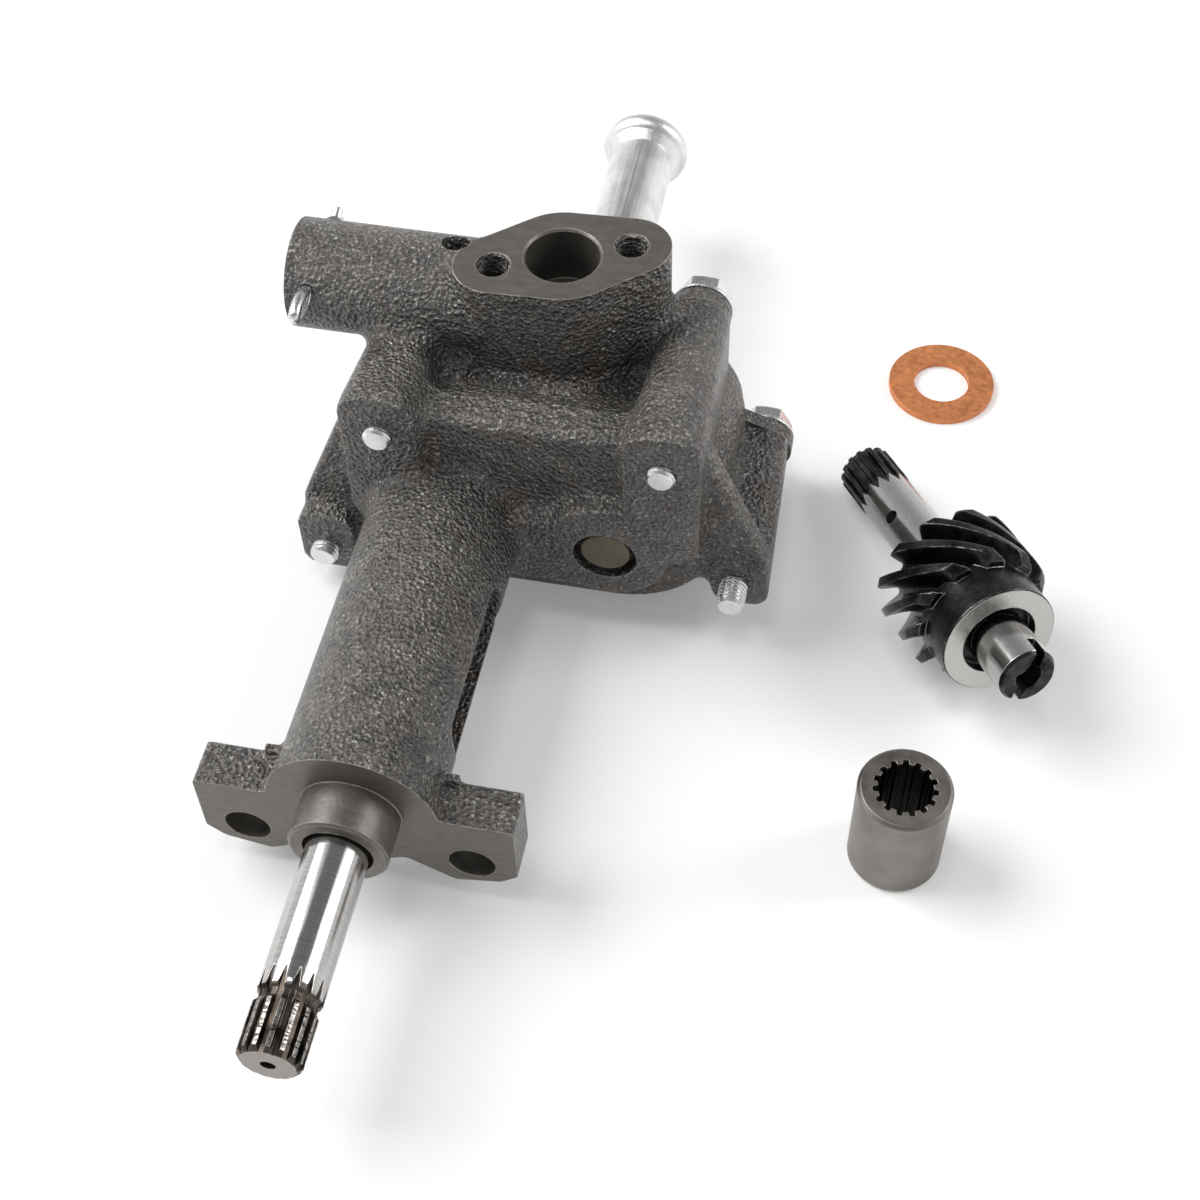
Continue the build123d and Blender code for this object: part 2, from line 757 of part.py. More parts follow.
# ---- Rear cover: plate with bolt lobes, blind bosses and the pickup socket ------------------
def cover_lobe(bolt_place):
    """Lobe of the cover plate that runs out from the nearer gear axis to one bolt."""
    root_x = 0 if bolt_place[0] < mid_x else centre_distance
    with BuildSketch() as lobe:
        with Locations(bolt_place):
            Circle(cover_bolt_boss_r)
        with Locations((root_x, 0)):
            Circle(cover_bolt_boss_r)
        make_hull()
    return lobe.sketch


with BuildPart() as pump_cover:
    with BuildSketch(across(cover_rear_y)):
        with Locations((mid_x, 0)):
            SlotCenterToCenter(centre_distance, 2 * (housing_r - cover_inset))
        for place in bolt_places:
            add(cover_lobe(place))
    extrude(amount=cover_thickness)
    chamfer(pump_cover.edges().group_by(Axis.Y)[-1], cover_edge_chamfer)
    # Blind bosses for the shaft tail and the idler pin, and the socket of the pickup tube.
    with BuildSketch(across(hub_boss_rear_y)):
        Circle(hub_boss_d / 2)
        with Locations((centre_distance, 0)):
            Circle(idler_boss_d / 2)
    extrude(amount=hub_boss_height)
    with BuildSketch(across(tube_boss_rear_y)):
        with Locations((tube_x, tube_z)):
            Circle(tube_boss_d / 2)
    extrude(amount=tube_boss_height)
    with BuildSketch(across(blind_bore_y)):
        Circle(bush_outer_r)
        with Locations((centre_distance, 0)):
            Circle(idler_pin_r + pin_cover_gap)
    extrude(amount=blind_bore_y - joint_y, mode=Mode.SUBTRACT)
    with BuildSketch(across(tube_boss_rear_y)):
        with Locations((tube_x, tube_z)):
            Circle(tube_r)
    extrude(amount=tube_socket_depth, mode=Mode.SUBTRACT)
    # Suction passage: from the socket forward, then down to the inlet side of the gears.
    with BuildSketch(across(tube_front_y)):
        with Locations((tube_x, tube_z)):
            Circle(tube_r - 2 * tube_wall)
    extrude(amount=tube_front_y - joint_y - suction_skin, mode=Mode.SUBTRACT)
    with BuildSketch(across(joint_y + suction_pocket_depth)):
        with Locations((mid_x, (suction_pocket_low_z + suction_pocket_top_z) / 2)):
            Rectangle(suction_pocket_width, suction_pocket_top_z - suction_pocket_low_z)
    extrude(amount=suction_pocket_depth, mode=Mode.SUBTRACT)
    with BuildSketch(across(cover_rear_y)):
        with Locations(*bolt_places):
            Circle(bolt_hole_d / 2)
    extrude(amount=cover_thickness, mode=Mode.SUBTRACT)
    with BuildSketch(across(joint_y + dowel_length / 2)):
        with Locations(*dowel_places):
            Circle(dowel_d / 2)
    extrude(amount=dowel_length / 2, mode=Mode.SUBTRACT)
write(pump_cover.part, "pump_cover")


# ---- Four identical flange bolts, and ring dowels round two of them -------------------------
with BuildPart() as cover_bolts:
    with BuildSketch(across(cover_rear_y)):
        with Locations(*bolt_places):
            Circle(bolt_d / 2)
    extrude(amount=bolt_length)
    chamfer(cover_bolts.edges().group_by(Axis.Y)[0], bolt_tip_chamfer)
    with BuildSketch(across(cover_rear_y + bolt_flange_t)):
        with Locations(*bolt_places):
            Circle(bolt_flange_d / 2)
    extrude(amount=bolt_flange_t)
    with BuildSketch(across(cover_rear_y + bolt_head_height)):
        with Locations(*bolt_places):
            RegularPolygon(bolt_head_af / 2, 6, major_radius=False)
    extrude(amount=bolt_head_height - bolt_flange_t)
write(cover_bolts.part, "cover_bolts")

with BuildPart() as cover_dowels:
    with BuildSketch(across(joint_y + dowel_length / 2)):
        with Locations(*dowel_places):
            Circle(dowel_d / 2)
            Circle(dowel_d / 2 - dowel_wall, mode=Mode.SUBTRACT)
    extrude(amount=dowel_length)
write(cover_dowels.part, "cover_dowels")


# ---- Pressure relief valve: piston, spring, seat plate and split pin ------------------------
piston_r = valve_bore_r - piston_gap
piston_open_x = valve_seat_x - piston_length
piston_bore_r = piston_r - piston_wall
with BuildPart() as relief_piston:
    with BuildSketch(Plane.YZ.offset(piston_open_x)):
        with Locations((valve_y, valve_z)):
            Circle(piston_r)
    extrude(amount=piston_length)
    chamfer(relief_piston.edges().group_by(Axis.X)[-1], piston_wall)
    with BuildSketch(Plane.YZ.offset(piston_open_x)):
        with Locations((valve_y, valve_z)):
            Circle(piston_bore_r)
    extrude(amount=piston_length - piston_crown, mode=Mode.SUBTRACT)
write(relief_piston.part, "relief_piston")

seat_plate_left_x = split_pin_x + split_pin_d / 2
seat_plate_right_x = seat_plate_left_x + seat_plate_t
with BuildPart() as relief_seat_plate:
    with BuildSketch(Plane.YZ.offset(seat_plate_left_x)):
        with Locations((valve_y, valve_z)):
            Circle(seat_bore_d / 2 - seat_plate_gap)
    extrude(amount=seat_plate_t)
write(relief_seat_plate.part, "relief_seat_plate")

spring_left_x = seat_plate_right_x
spring_right_x = valve_seat_x - piston_crown
spring_coil_r = piston_bore_r - spring_side_gap - spring_wire_d / 2
spring_pitch = (spring_right_x - spring_left_x - spring_wire_d) / spring_turns
with BuildPart() as relief_spring:
    with BuildLine():
        coil = Helix(
            spring_pitch,
            spring_pitch * spring_turns,
            spring_coil_r,
            center=(spring_left_x + spring_wire_d / 2, valve_y, valve_z),
            direction=(1, 0, 0),
        )
    with BuildSketch(Plane(origin=coil @ 0, z_dir=coil % 0)):
        RegularPolygon(spring_wire_d / 2, 4)
    sweep(path=coil, is_frenet=True)
write(relief_spring.part, "relief_spring")

split_pin_z = valve_z + split_pin_height
eye_root_y = valve_y - sqrt(valve_outer_r**2 - split_pin_height**2)
leg_root_y = 2 * valve_y - eye_root_y
with BuildPart() as relief_split_pin:
    with BuildSketch(across(leg_root_y + split_pin_eye_gap)):
        with Locations((split_pin_x, split_pin_z)):
            Circle(split_pin_d / 2)
    extrude(amount=leg_root_y - eye_root_y + split_pin_eye_gap + split_pin_d / 4)
    # Eye of half-round wire, standing out of the near side of the barrel.
    with BuildSketch(Plane.YZ.offset(split_pin_x)):
        with Locations((eye_root_y - split_pin_eye_gap - split_pin_eye_length / 2, split_pin_z)):
            SlotOverall(split_pin_eye_length, split_pin_eye_width)
            SlotOverall(
                split_pin_eye_length - split_pin_d,
                split_pin_eye_width - split_pin_d,
                mode=Mode.SUBTRACT,
            )
    extrude(amount=split_pin_d / 2, both=True)
    # Legs, parted a little behind the barrel.
    for spread in (-split_pin_leg_spread, split_pin_leg_spread):
        with BuildSketch(Plane.YZ.offset(split_pin_x)):
            with Locations(Location((leg_root_y + split_pin_eye_gap, split_pin_z, 0), (0, 0, spread))):
                Rectangle(split_pin_leg_length, split_pin_d / 2, align=(Align.MIN, Align.CENTER))
        extrude(amount=split_pin_d / 2, both=True)
write(relief_split_pin.part, "relief_split_pin")


# ---- Pickup tube with its rolled end --------------------------------------------------------
bead_front_y = tube_end_y - bead_width
with BuildPart() as pickup_tube:
    with BuildSketch(Plane.XY.offset(tube_z)):
        with BuildLine():
            Polyline(
                (tube_x + tube_r - tube_wall, tube_end_y - bead_lip_radius),
                (tube_x + tube_r - tube_wall, tube_front_y),
                (tube_x + tube_r, tube_front_y),
                (tube_x + tube_r, bead_front_y - 2),
                (tube_x + bead_d / 2 - bead_lip_radius / 2, bead_front_y + 1),
            )
            ThreePointArc(
                (tube_x + bead_d / 2 - bead_lip_radius / 2, bead_front_y + 1),
                (tube_x + bead_d / 2, tube_end_y - bead_lip_radius),
                (tube_x + bead_d / 2 - bead_lip_radius, tube_end_y),
            )
            Line(
                (tube_x + bead_d / 2 - bead_lip_radius, tube_end_y),
                (tube_x + tube_r - tube_wall, tube_end_y - bead_lip_radius),
            )
        make_face()
    revolve(axis=tube_axis)
write(pickup_tube.part, "pickup_tube")


# ---- Coupling sleeve, splined right through, standing on the bench --------------------------
with BuildPart() as coupling_sleeve:
    with BuildSketch(Plane((coupling_x, coupling_y, bench_z))):
        Circle(coupling_d / 2)
    extrude(amount=coupling_length)
    chamfer(coupling_sleeve.edges().filter_by(GeomType.CIRCLE), coupling_chamfer)
    with BuildSketch(Plane((coupling_x, coupling_y, bench_z))):
        Circle(shaft_r - spline_depth + coupling_spline_gap)
        with PolarLocations(0, spline_teeth):
            Polygon(
                *spline_tooth(shaft_r + coupling_spline_gap, spline_depth, spline_teeth, 0.6, 0.4),
                align=None,
            )
    extrude(amount=coupling_length, mode=Mode.SUBTRACT)
write(coupling_sleeve.part, "coupling_sleeve")


# ---- Pinion shaft, resting on its splined end and on the edge of the helical gear -----------
helical_tip_r = helical_outer_d / 2
pinion_tilt = degrees(atan2(helical_tip_r - shaft_r, helical_start))
pinion_heading_flat = (cos(radians(pinion_heading)), sin(radians(pinion_heading)))
pinion_plane = Plane(
    origin=(pinion_x, pinion_y, bench_z + shaft_r * cos(radians(pinion_tilt))),
    x_dir=(-pinion_heading_flat[1], pinion_heading_flat[0], 0),
    z_dir=(
        pinion_heading_flat[0] * cos(radians(pinion_tilt)),
        pinion_heading_flat[1] * cos(radians(pinion_tilt)),
        sin(radians(pinion_tilt)),
    ),
)
with BuildPart() as pinion_shaft:
    with BuildSketch(pinion_plane):
        Circle(shaft_r)
    extrude(amount=pinion_length - pinion_end_length - pinion_neck_length)
    chamfer(pinion_shaft.edges().filter_by(GeomType.CIRCLE), shaft_end_chamfer)
    with BuildSketch(pinion_plane.offset(pinion_length - pinion_end_length - 2 * pinion_neck_length)):
        Circle(shaft_r - pinion_neck_length)
    extrude(amount=2 * pinion_neck_length)
    with BuildSketch(pinion_plane.offset(pinion_length - pinion_end_length)):
        Circle(pinion_end_d / 2)
    extrude(amount=pinion_end_length)
    with BuildSketch(pinion_plane):
        with PolarLocations(0, spline_teeth):
            Polygon(*spline_space(shaft_r, spline_depth, spline_teeth, 0.42, 0.62), align=None)
    extrude(amount=pinion_spline_length, mode=Mode.SUBTRACT)
    # Cross slot and blind bore in the far end, and the oil hole in the shank.
    with BuildSketch(pinion_plane.offset(pinion_length).rotated((0, 0, pinion_slot_turn))):
        Rectangle(2 * pinion_end_d, pinion_slot_width)
    extrude(amount=-pinion_slot_depth, mode=Mode.SUBTRACT)
    with BuildSketch(pinion_plane.offset(pinion_length)):
        Circle(pinion_bore_d / 2)
    extrude(amount=-2 * pinion_slot_depth, mode=Mode.SUBTRACT)
    with BuildSketch(
        Plane(
            origin=pinion_plane.from_local_coords((0, 0, pinion_oil_hole_at)),
            x_dir=pinion_plane.z_dir,
            z_dir=pinion_plane.x_dir.rotate(
                Axis((0, 0, 0), pinion_plane.z_dir), pinion_oil_hole_turn
            ),
        )
    ):
        Circle(pinion_oil_hole_d / 2)
    extrude(amount=shaft_d, mode=Mode.SUBTRACT)
write(pinion_shaft.part, "pinion_shaft")

helical_root_r = helical_tip_r - helical_tooth_height
helical_pitch_r = helical_tip_r - helical_tooth_height / 2
helical_twist = -degrees(helical_length * tan(radians(helical_angle)) / helical_pitch_r)
with BuildSketch(pinion_plane.offset(helical_start)) as helical_face:
    Circle(helical_root_r)
    with PolarLocations(0, helical_teeth):
        Polygon(*spline_tooth(helical_tip_r, helical_tooth_height, helical_teeth, 0.66, 0.3), align=None)
with BuildPart() as pinion_gear:
    add(
        Solid.extrude_linear_with_rotation(
            helical_face.sketch.faces()[0],
            center=pinion_plane.from_local_coords((0, 0, helical_start)),
            normal=pinion_plane.z_dir * helical_length,
            angle=helical_twist,
        )
    )
    with BuildSketch(pinion_plane.offset(helical_start + helical_length - hub_overlap)):
        Circle(hub_d / 2)
    extrude(amount=hub_end - helical_start - helical_length + hub_overlap)
    with BuildSketch(pinion_plane.offset(hub_end)):
        Circle(hub_recess_d / 2)
    extrude(amount=-hub_recess_depth, mode=Mode.SUBTRACT)
    with BuildSketch(pinion_plane.offset(helical_start)):
        Circle(shaft_r)
    extrude(amount=hub_end - helical_start, mode=Mode.SUBTRACT)
write(pinion_gear.part, "pinion_gear")


# ---- Thrust washer, flat on the bench -------------------------------------------------------
with BuildPart() as thrust_washer:
    with BuildSketch(Plane((washer_x, washer_y, bench_z))):
        Circle(washer_outer_d / 2)
        Circle(washer_inner_d / 2, mode=Mode.SUBTRACT)
    extrude(amount=washer_t)
write(thrust_washer.part, "thrust_washer")
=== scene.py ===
"""Engine oil pump: materials, finer pieces, bench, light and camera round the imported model."""
from math import cos, pi, radians, sin

import bmesh
import bpy
from mathutils import Matrix, Vector


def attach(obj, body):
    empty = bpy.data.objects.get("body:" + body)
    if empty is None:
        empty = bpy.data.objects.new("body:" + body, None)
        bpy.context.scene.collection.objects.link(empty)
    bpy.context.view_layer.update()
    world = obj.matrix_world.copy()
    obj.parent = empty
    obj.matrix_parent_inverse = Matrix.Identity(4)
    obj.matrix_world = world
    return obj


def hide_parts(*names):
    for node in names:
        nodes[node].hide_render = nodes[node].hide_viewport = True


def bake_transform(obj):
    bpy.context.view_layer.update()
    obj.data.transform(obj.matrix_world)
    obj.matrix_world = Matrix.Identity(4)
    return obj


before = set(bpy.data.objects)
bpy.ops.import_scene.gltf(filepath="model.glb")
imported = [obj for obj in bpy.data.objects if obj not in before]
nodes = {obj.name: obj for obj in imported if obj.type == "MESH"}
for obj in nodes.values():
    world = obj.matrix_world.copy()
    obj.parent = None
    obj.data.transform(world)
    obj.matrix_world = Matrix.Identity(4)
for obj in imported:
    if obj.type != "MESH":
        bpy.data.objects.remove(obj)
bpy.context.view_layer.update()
mm = 0.001
bpy.context.scene.view_settings.view_transform = "Standard"

# ---- Camera: the photograph's own angle -----------------------------------------------------
camera_place = Vector((117.8, -230.9, 409.5)) * mm
camera_azimuth = radians(13.03)
camera_elevation = radians(52.5)
camera_roll = radians(-1.82)
camera_lens = 58.36

view_ahead = Vector(
    (
        -sin(camera_azimuth) * cos(camera_elevation),
        cos(camera_azimuth) * cos(camera_elevation),
        -sin(camera_elevation),
    )
)
view_level = Vector((cos(camera_azimuth), sin(camera_azimuth), 0))
view_upright = view_level.cross(view_ahead)
view_right = view_level * cos(camera_roll) + view_upright * sin(camera_roll)
view_up = view_upright * cos(camera_roll) - view_level * sin(camera_roll)
view_turn = Matrix((view_right, view_up, -view_ahead)).transposed()
camera = bpy.data.objects.new("camera", bpy.data.cameras.new("camera"))
camera.data.lens = camera_lens
camera.matrix_world = Matrix.Translation(camera_place) @ view_turn.to_4x4()
bpy.context.scene.collection.objects.link(camera)
bpy.context.scene.camera = camera


# ---- Short spellings for building meshes ----------------------------------------------------
def at(x, y, z):
    """Place in the row frame, given in millimetres."""
    return Vector((x, y, z)) * mm


X = Vector((1, 0, 0))
Y = Vector((0, 1, 0))
Z = Vector((0, 0, 1))


def new_piece(name, shape):
    """Object made of a bmesh, which is freed."""
    bmesh.ops.recalc_face_normals(shape, faces=shape.faces)
    mesh = bpy.data.meshes.new(name)
    shape.to_mesh(mesh)
    shape.free()
    piece = bpy.data.objects.new(name, mesh)
    bpy.context.scene.collection.objects.link(piece)
    return piece


def frame_at(start, ahead):
    """Matrix whose Z runs along ahead from start."""
    return Matrix.Translation(start) @ ahead.to_track_quat("Z", "Y").to_matrix().to_4x4()


def tube_of_rings(rings, closed=True):
    """Bmesh that joins rings of points, each to the next, with flat ends if closed."""
    shape = bmesh.new()
    loops = [[shape.verts.new(point) for point in points] for points in rings]
    for low, high in zip(loops, loops[1:]):
        for k in range(len(low)):
            shape.faces.new((low[k - 1], low[k], high[k], high[k - 1]))
    if closed:
        shape.faces.new(reversed(loops[0]))
        shape.faces.new(loops[-1])
    return shape


def axes(start, ahead, sideways):
    """Matrix whose Z runs along ahead from start, and whose X runs sideways."""
    turned = Matrix((sideways, ahead.cross(sideways), ahead)).transposed()
    return Matrix.Translation(start) @ turned.to_4x4()


def ring(place, radius, along, sides=64):
    """Points of a circle round the Z axis of place. radius is a number or a function of the turn."""
    turns = [2 * pi * k / sides for k in range(sides)]
    radii = [radius(turn) if callable(radius) else radius for turn in turns]
    return [place @ Vector((r * cos(turn), r * sin(turn), along)) for r, turn in zip(radii, turns)]


def lathe(start, ahead, profile, sides=64):
    """Turned solid along ahead from start. profile lists (distance, radius) in millimetres."""
    place = frame_at(start, ahead)
    return tube_of_rings([ring(place, radius * mm, along * mm, sides) for along, radius in profile])


def prism(outline, along):
    """Solid between a list of points and the same points moved by along."""
    return tube_of_rings([outline, [point + along for point in outline]])


def block(low, high):
    """Box between two corners."""
    corners = ((low[0], low[1]), (high[0], low[1]), (high[0], high[1]), (low[0], high[1]))
    return prism([at(x, y, low[2]) for x, y in corners], Z * (high[2] - low[2]) * mm)


thread_sides = 48


def thread(place, low, high, pitch, root, crest, limit=None, steps=6):
    """Rings of a screw thread from low to high along place's Z.

    limit gives the greatest radius at each distance, and steps is the number of rings to a turn.
    """
    rings = []
    count = round((high - low) / pitch * steps)
    for step in range(count + 1):
        along = low + (high - low) * step / count

        def radius(turn, along=along):
            phase = (along / pitch - turn / (2 * pi)) % 1
            swell = min(1.0, 2.2 * min(phase, 1 - phase))
            r = root + (crest - root) * swell
            return min(r, limit(along)) * mm if limit else r * mm

        rings.append(ring(place, radius, along * mm, thread_sides))
    return rings


def merge(*shapes):
    """One bmesh of several, which are freed."""
    whole = bmesh.new()
    for shape in shapes:
        scratch = bpy.data.meshes.new("scratch")
        shape.to_mesh(scratch)
        shape.free()
        whole.from_mesh(scratch)
        bpy.data.meshes.remove(scratch)
    return whole


def read(piece):
    """Bmesh copy of a piece."""
    shape = bmesh.new()
    shape.from_mesh(piece.data)
    return shape


def modify(piece, kind, **settings):
    """Adds a modifier with its settings."""
    modifier = piece.modifiers.new(kind.lower(), kind)
    for name, value in settings.items():
        setattr(modifier, name, value)


def settle(piece):
    """Makes the modifiers of a piece real."""
    shown = piece.evaluated_get(bpy.context.evaluated_depsgraph_get())
    mesh = bpy.data.meshes.new_from_object(shown)
    piece.modifiers.clear()
    piece.data = mesh


def cut(piece, *tools, operation="DIFFERENCE"):
    """Cuts solids out of a piece, or adds them to it. The tools are bmeshes and are used up."""
    helpers = [new_piece("tool", tool) for tool in tools]
    for helper in helpers:
        modify(piece, "BOOLEAN", operation=operation, object=helper, solver="MANIFOLD")
    settle(piece)
    for helper in helpers:
        bpy.data.objects.remove(helper)


def finish_piece(piece, node, body="pump", replaces=True, sharp=38):
    """Shades a piece smooth but for its sharp edges, and hands it to the body its node rides on."""
    piece.data.shade_smooth()
    piece.data.set_sharp_from_angle(angle=radians(sharp))
    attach(piece, body)
    if replaces:
        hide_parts(node)
    return piece


# ---- The casting: soft mould fillets, with its cut faces and holes left crisp ---------------
voxel = 0.8 * mm
fillet_radius = 2.6 * mm
extra_shrink = 0.12 * mm
# While the casting is remeshed, its cut faces stand this much proud and its holes are plugged this
# much wider. Each drill starts this far outside its hole, and runs this far past the hole's end.
spare = 3.0
plug_spare = 0.6
drill_lead = 8.0
drill_overrun = 4.0
# A place this close to a face counts as on it.
near = 0.05
flange_z = 63.4
flange_radii = (10.6, 16.6, 10.6)
barrel_top_z = 63.2
ear_depth = 16.0
joint_y = 148.5
joint_top_z = 46.0
pillar_rear_y = 156.5
bench_z = -32.4
spigot_end_y = -12.2
ear_hole_x = 29.4
ear_hole_z = -16.2
gear_bore_radius = 25.65
idler_x = 45
pad_y = 90.8
barrel_end_x = -46.3
barrel_y = 133.6
barrel_z = 48.4
pin_x = -40.0
pin_z = 55.1
outlet_turn = radians(21.7)
outlet_hole_step = Vector((cos(outlet_turn), sin(outlet_turn), 0)) * 18.3 * mm
outlet_centre = at(25.7, 136.6, flange_z)
outlet_threads = [outlet_centre - outlet_hole_step, outlet_centre + outlet_hole_step]
port_turn = radians(15)
port_down = Vector((0, -sin(port_turn), -cos(port_turn)))
port_mouth = at(-3.0, barrel_y, barrel_z) - port_down * 14.1 * mm
# Each bolt is (x, z, y of the pad that its tip comes out of).
bolts = [(-14.9, 34.4, pad_y), (60.2, 34.4, pad_y), (-36.4, -18.6, 92.5), (79.8, -13.6, 97.0)]

# Each hole is (mouth, direction, ((depth, radius), ...), how far it is plugged outside its mouth).
shaft_bore = ((0, 9.03), (29.2, 9.03), (33.2, 15.5), (95.2, 15.5), (99.2, 9.03), (122.5, 9.03))
gear_bore = ((122.5, gear_bore_radius), (163.7, gear_bore_radius))
holes = [
    (at(0, spigot_end_y, 0), Y, (*shaft_bore, *gear_bore), 0),
    (at(idler_x, 110.3, 0), Y, ((0, gear_bore_radius), (41.2, gear_bore_radius)), 0),
    (at(idler_x, pad_y, 0), Y, ((0, 6.9), (25, 6.9)), 0),
    (at(idler_x, pad_y, -1.2), Y, ((0, 8.8), (1.6, 8.8)), 0),
]
smooth_holes = [
    (at(-ear_hole_x, 0, ear_hole_z), Y, ((0, 6.05), (12.5, 6.05)), spare),
    (at(ear_hole_x, 0, ear_hole_z), Y, ((0, 6.05), (12.5, 6.05)), spare),
    (outlet_centre, -Z, ((0, 10.4), (0.6, 9.8), (17, 9.8), (17, 7.5), (50, 7.5)), spare),
]
holes += smooth_holes
holes += [
    (at(barrel_end_x, barrel_y, barrel_z), X, ((0, 10), (13, 10), (13, 7.8), (48.8, 7.8)), spare),
    (port_mouth, port_down, ((0, 4), (14, 4)), 0),
    (at(pin_x, 120.5, pin_z), Y, ((0, 1.8), (27, 1.8)), 0),
]
holes += [(mouth, -Z, ((0, 4.6), (0.6, 4), (12.5, 4)), spare) for mouth in outlet_threads]
holes += [(at(x, joint_y, z), -Y, ((0, 4.12), (joint_y - front, 4.12)), spare) for x, z, front in bolts]
# Two bolts have a ring dowel round them at the joint.
holes += [(at(x, joint_y, z), -Y, ((0, 5.5), (3.5, 5.5)), spare) for x, z, _ in (bolts[0], bolts[3])]

# The window's rounded corners are given by their centres (y, z).
window_start_x = 8
window_depth = 40
window_radius = 4.0
window_centres = ((67, 2.5), (26, 2.5), (26, -8), (67, -8))
window_outline = [
    at(window_start_x, y + window_radius * cos(turn), z + window_radius * sin(turn))
    for quarter, (y, z) in enumerate(window_centres)
    for turn in (pi / 2 * (quarter + step / 6) for step in range(7))
]

casting = bpy.data.objects.new("casting", nodes["pump_body"].data.copy())
bpy.context.scene.collection.objects.link(casting)
casting.data.materials.clear()
# Cut faces stand a little proud at first, and are cut back to their planes at the end.
for vertex in casting.data.vertices:
    if vertex.co.z > (flange_z - 0.1) * mm:
        vertex.co.z += spare * mm
    if abs(vertex.co.y) < near * mm:
        vertex.co.y -= spare * mm
    if abs(vertex.co.y - joint_y * mm) < near * mm and vertex.co.z < (joint_top_z - near) * mm:
        vertex.co.y += spare * mm
    if vertex.co.x < (barrel_end_x + 0.1) * mm:
        vertex.co.x -= spare * mm
# These fill the window, and the bottom of the hollow between the barrel and the outlet pillar.
plugs = [block((8, 21.5, -12.5), (18.6, 71.5, 7)), block((-8, 117, 28), (3, 127, 37))]
drills = []
for mouth, ahead, profile, outside in holes:
    wide = [(along, radius + plug_spare) for along, radius in profile]
    plugs.append(lathe(mouth, ahead, [(-outside, wide[0][1]), *wide]))
    depth, end_radius = profile[-1]
    drill = [(-drill_lead, profile[0][1]), *profile, (depth + drill_overrun, end_radius)]
    drills.append(lathe(mouth, ahead, drill))
plugged = merge(read(casting), *plugs)
plugged.to_mesh(casting.data)
# Grown and shrunk again, which leaves a fillet in every inside corner. It is shrunk a little more
# than it was grown, so that joined to the casting it shows in those corners only.
filleted = new_piece("filleted", plugged)
modify(filleted, "REMESH", mode="VOXEL", voxel_size=voxel)
for growth in (fillet_radius, -fillet_radius - extra_shrink):
    modify(filleted, "DISPLACE", mid_level=0.0, strength=growth)
    modify(filleted, "REMESH", mode="VOXEL", voxel_size=voxel)
settle(filleted)
cut(filleted, block((-60, -40, -60), (60, ear_depth, 60)))
joined = merge(read(casting), read(filleted))
joined.to_mesh(casting.data)
joined.free()
bpy.data.objects.remove(filleted)
modify(casting, "REMESH", mode="VOXEL", voxel_size=voxel)
modify(casting, "SMOOTH", factor=0.5, iterations=2)
settle(casting)

# The flange's cut face ends at its own outline, a little above the barrel.
flange_hull = bmesh.new()
for middle, radius in zip((outlet_threads[0], outlet_centre, outlet_threads[1]), flange_radii):
    for height in (-spare, spare + 1):
        for point in ring(Matrix.Translation(middle), radius * mm, height * mm):
            flange_hull.verts.new(point)
bmesh.ops.convex_hull(flange_hull, input=flange_hull.verts)
collar = new_piece("collar", block((-60, 60, barrel_top_z), (100, 200, flange_z + spare + 0.5)))
cut(collar, flange_hull)
above_barrel = read(collar)
bpy.data.objects.remove(collar)
# Each block cuts one side of the casting back to its plane.
cut(
    casting,
    above_barrel,
    block((-60, 60, flange_z), (100, 200, 90)),
    block((-60, -40, -60), (60, 0, 60)),
    block((-60, joint_y, -60), (120, pillar_rear_y, joint_top_z)),
    block((-80, 100, 0), (barrel_end_x, 160, 90)),
    block((-80, 60, -60), (120, 200, bench_z)),
)
spigot = lathe(at(0, spigot_end_y, 0), Y, ((0, 12), (0.7, 12.7), (15, 12.7)))
cut(casting, spigot, operation="UNION")
cut(casting, *drills, prism(window_outline, X * window_depth * mm))
finish_piece(casting, "pump_body")


# ---- Bolts with rolled threads, chamfered tips and heads ------------------------------------
thread_pitch = 1.25
thread_radius = 4.0
bolt_root = 3.4
bolt_tip_radius = 3.1
hole_thread_crest = 3.5
shank_radius = 3.95
bolt_end_y = 153.5
bolt_length = 64.2
bolt_thread_length = 22.0
head_corner_radius = 7.33


def tip_limit(along):
    """Radius of the chamfered tip at a distance from it."""
    return bolt_tip_radius + along


shank_place = frame_at(at(0, bolt_end_y - bolt_length, 0), Y)
shank = thread(shank_place, 0.0, bolt_thread_length, thread_pitch, bolt_root, thread_radius, tip_limit)
for along in (bolt_thread_length + 1, bolt_length):
    shank.append(ring(shank_place, shank_radius * mm, along * mm, thread_sides))
head_place = frame_at(at(0, bolt_end_y, 0), Y)
hexagon = [ring(head_place, head_corner_radius * mm, along * mm, 6) for along in (0.5, 6.0)]
head = new_piece("head", tube_of_rings(hexagon))
dome = lathe(at(0, bolt_end_y, 0), Y, ((-1, 9), (4.9, 9), (6.0, 6.1), (7, 5)))
cut(head, dome, operation="INTERSECT")
flange = lathe(at(0, bolt_end_y, 0), Y, ((0, 8.3), (0.25, 8.5), (0.9, 8.5), (1.9, 7.0)))
one_bolt = new_piece("one_bolt", merge(tube_of_rings(shank), flange, read(head)))
bpy.data.objects.remove(head)
copies = []
for x, z, _ in bolts:
    copy = read(one_bolt)
    bmesh.ops.translate(copy, verts=copy.verts, vec=at(x, 0, z))
    copies.append(copy)
bpy.data.objects.remove(one_bolt)
bolt_set = finish_piece(new_piece("bolt_set", merge(*copies)), "cover_bolts", sharp=30)

# Threads cut in the two outlet holes.
cut_threads = []
for mouth in outlet_threads:
    place = frame_at(mouth, -Z)
    rings = thread(place, 1.0, 12.3, thread_pitch, thread_radius, hole_thread_crest)
    cut_threads.append(tube_of_rings(rings, closed=False))
outlet_thread_cut = new_piece("outlet_thread_cut", merge(*cut_threads))
finish_piece(outlet_thread_cut, "pump_body", replaces=False, sharp=30)


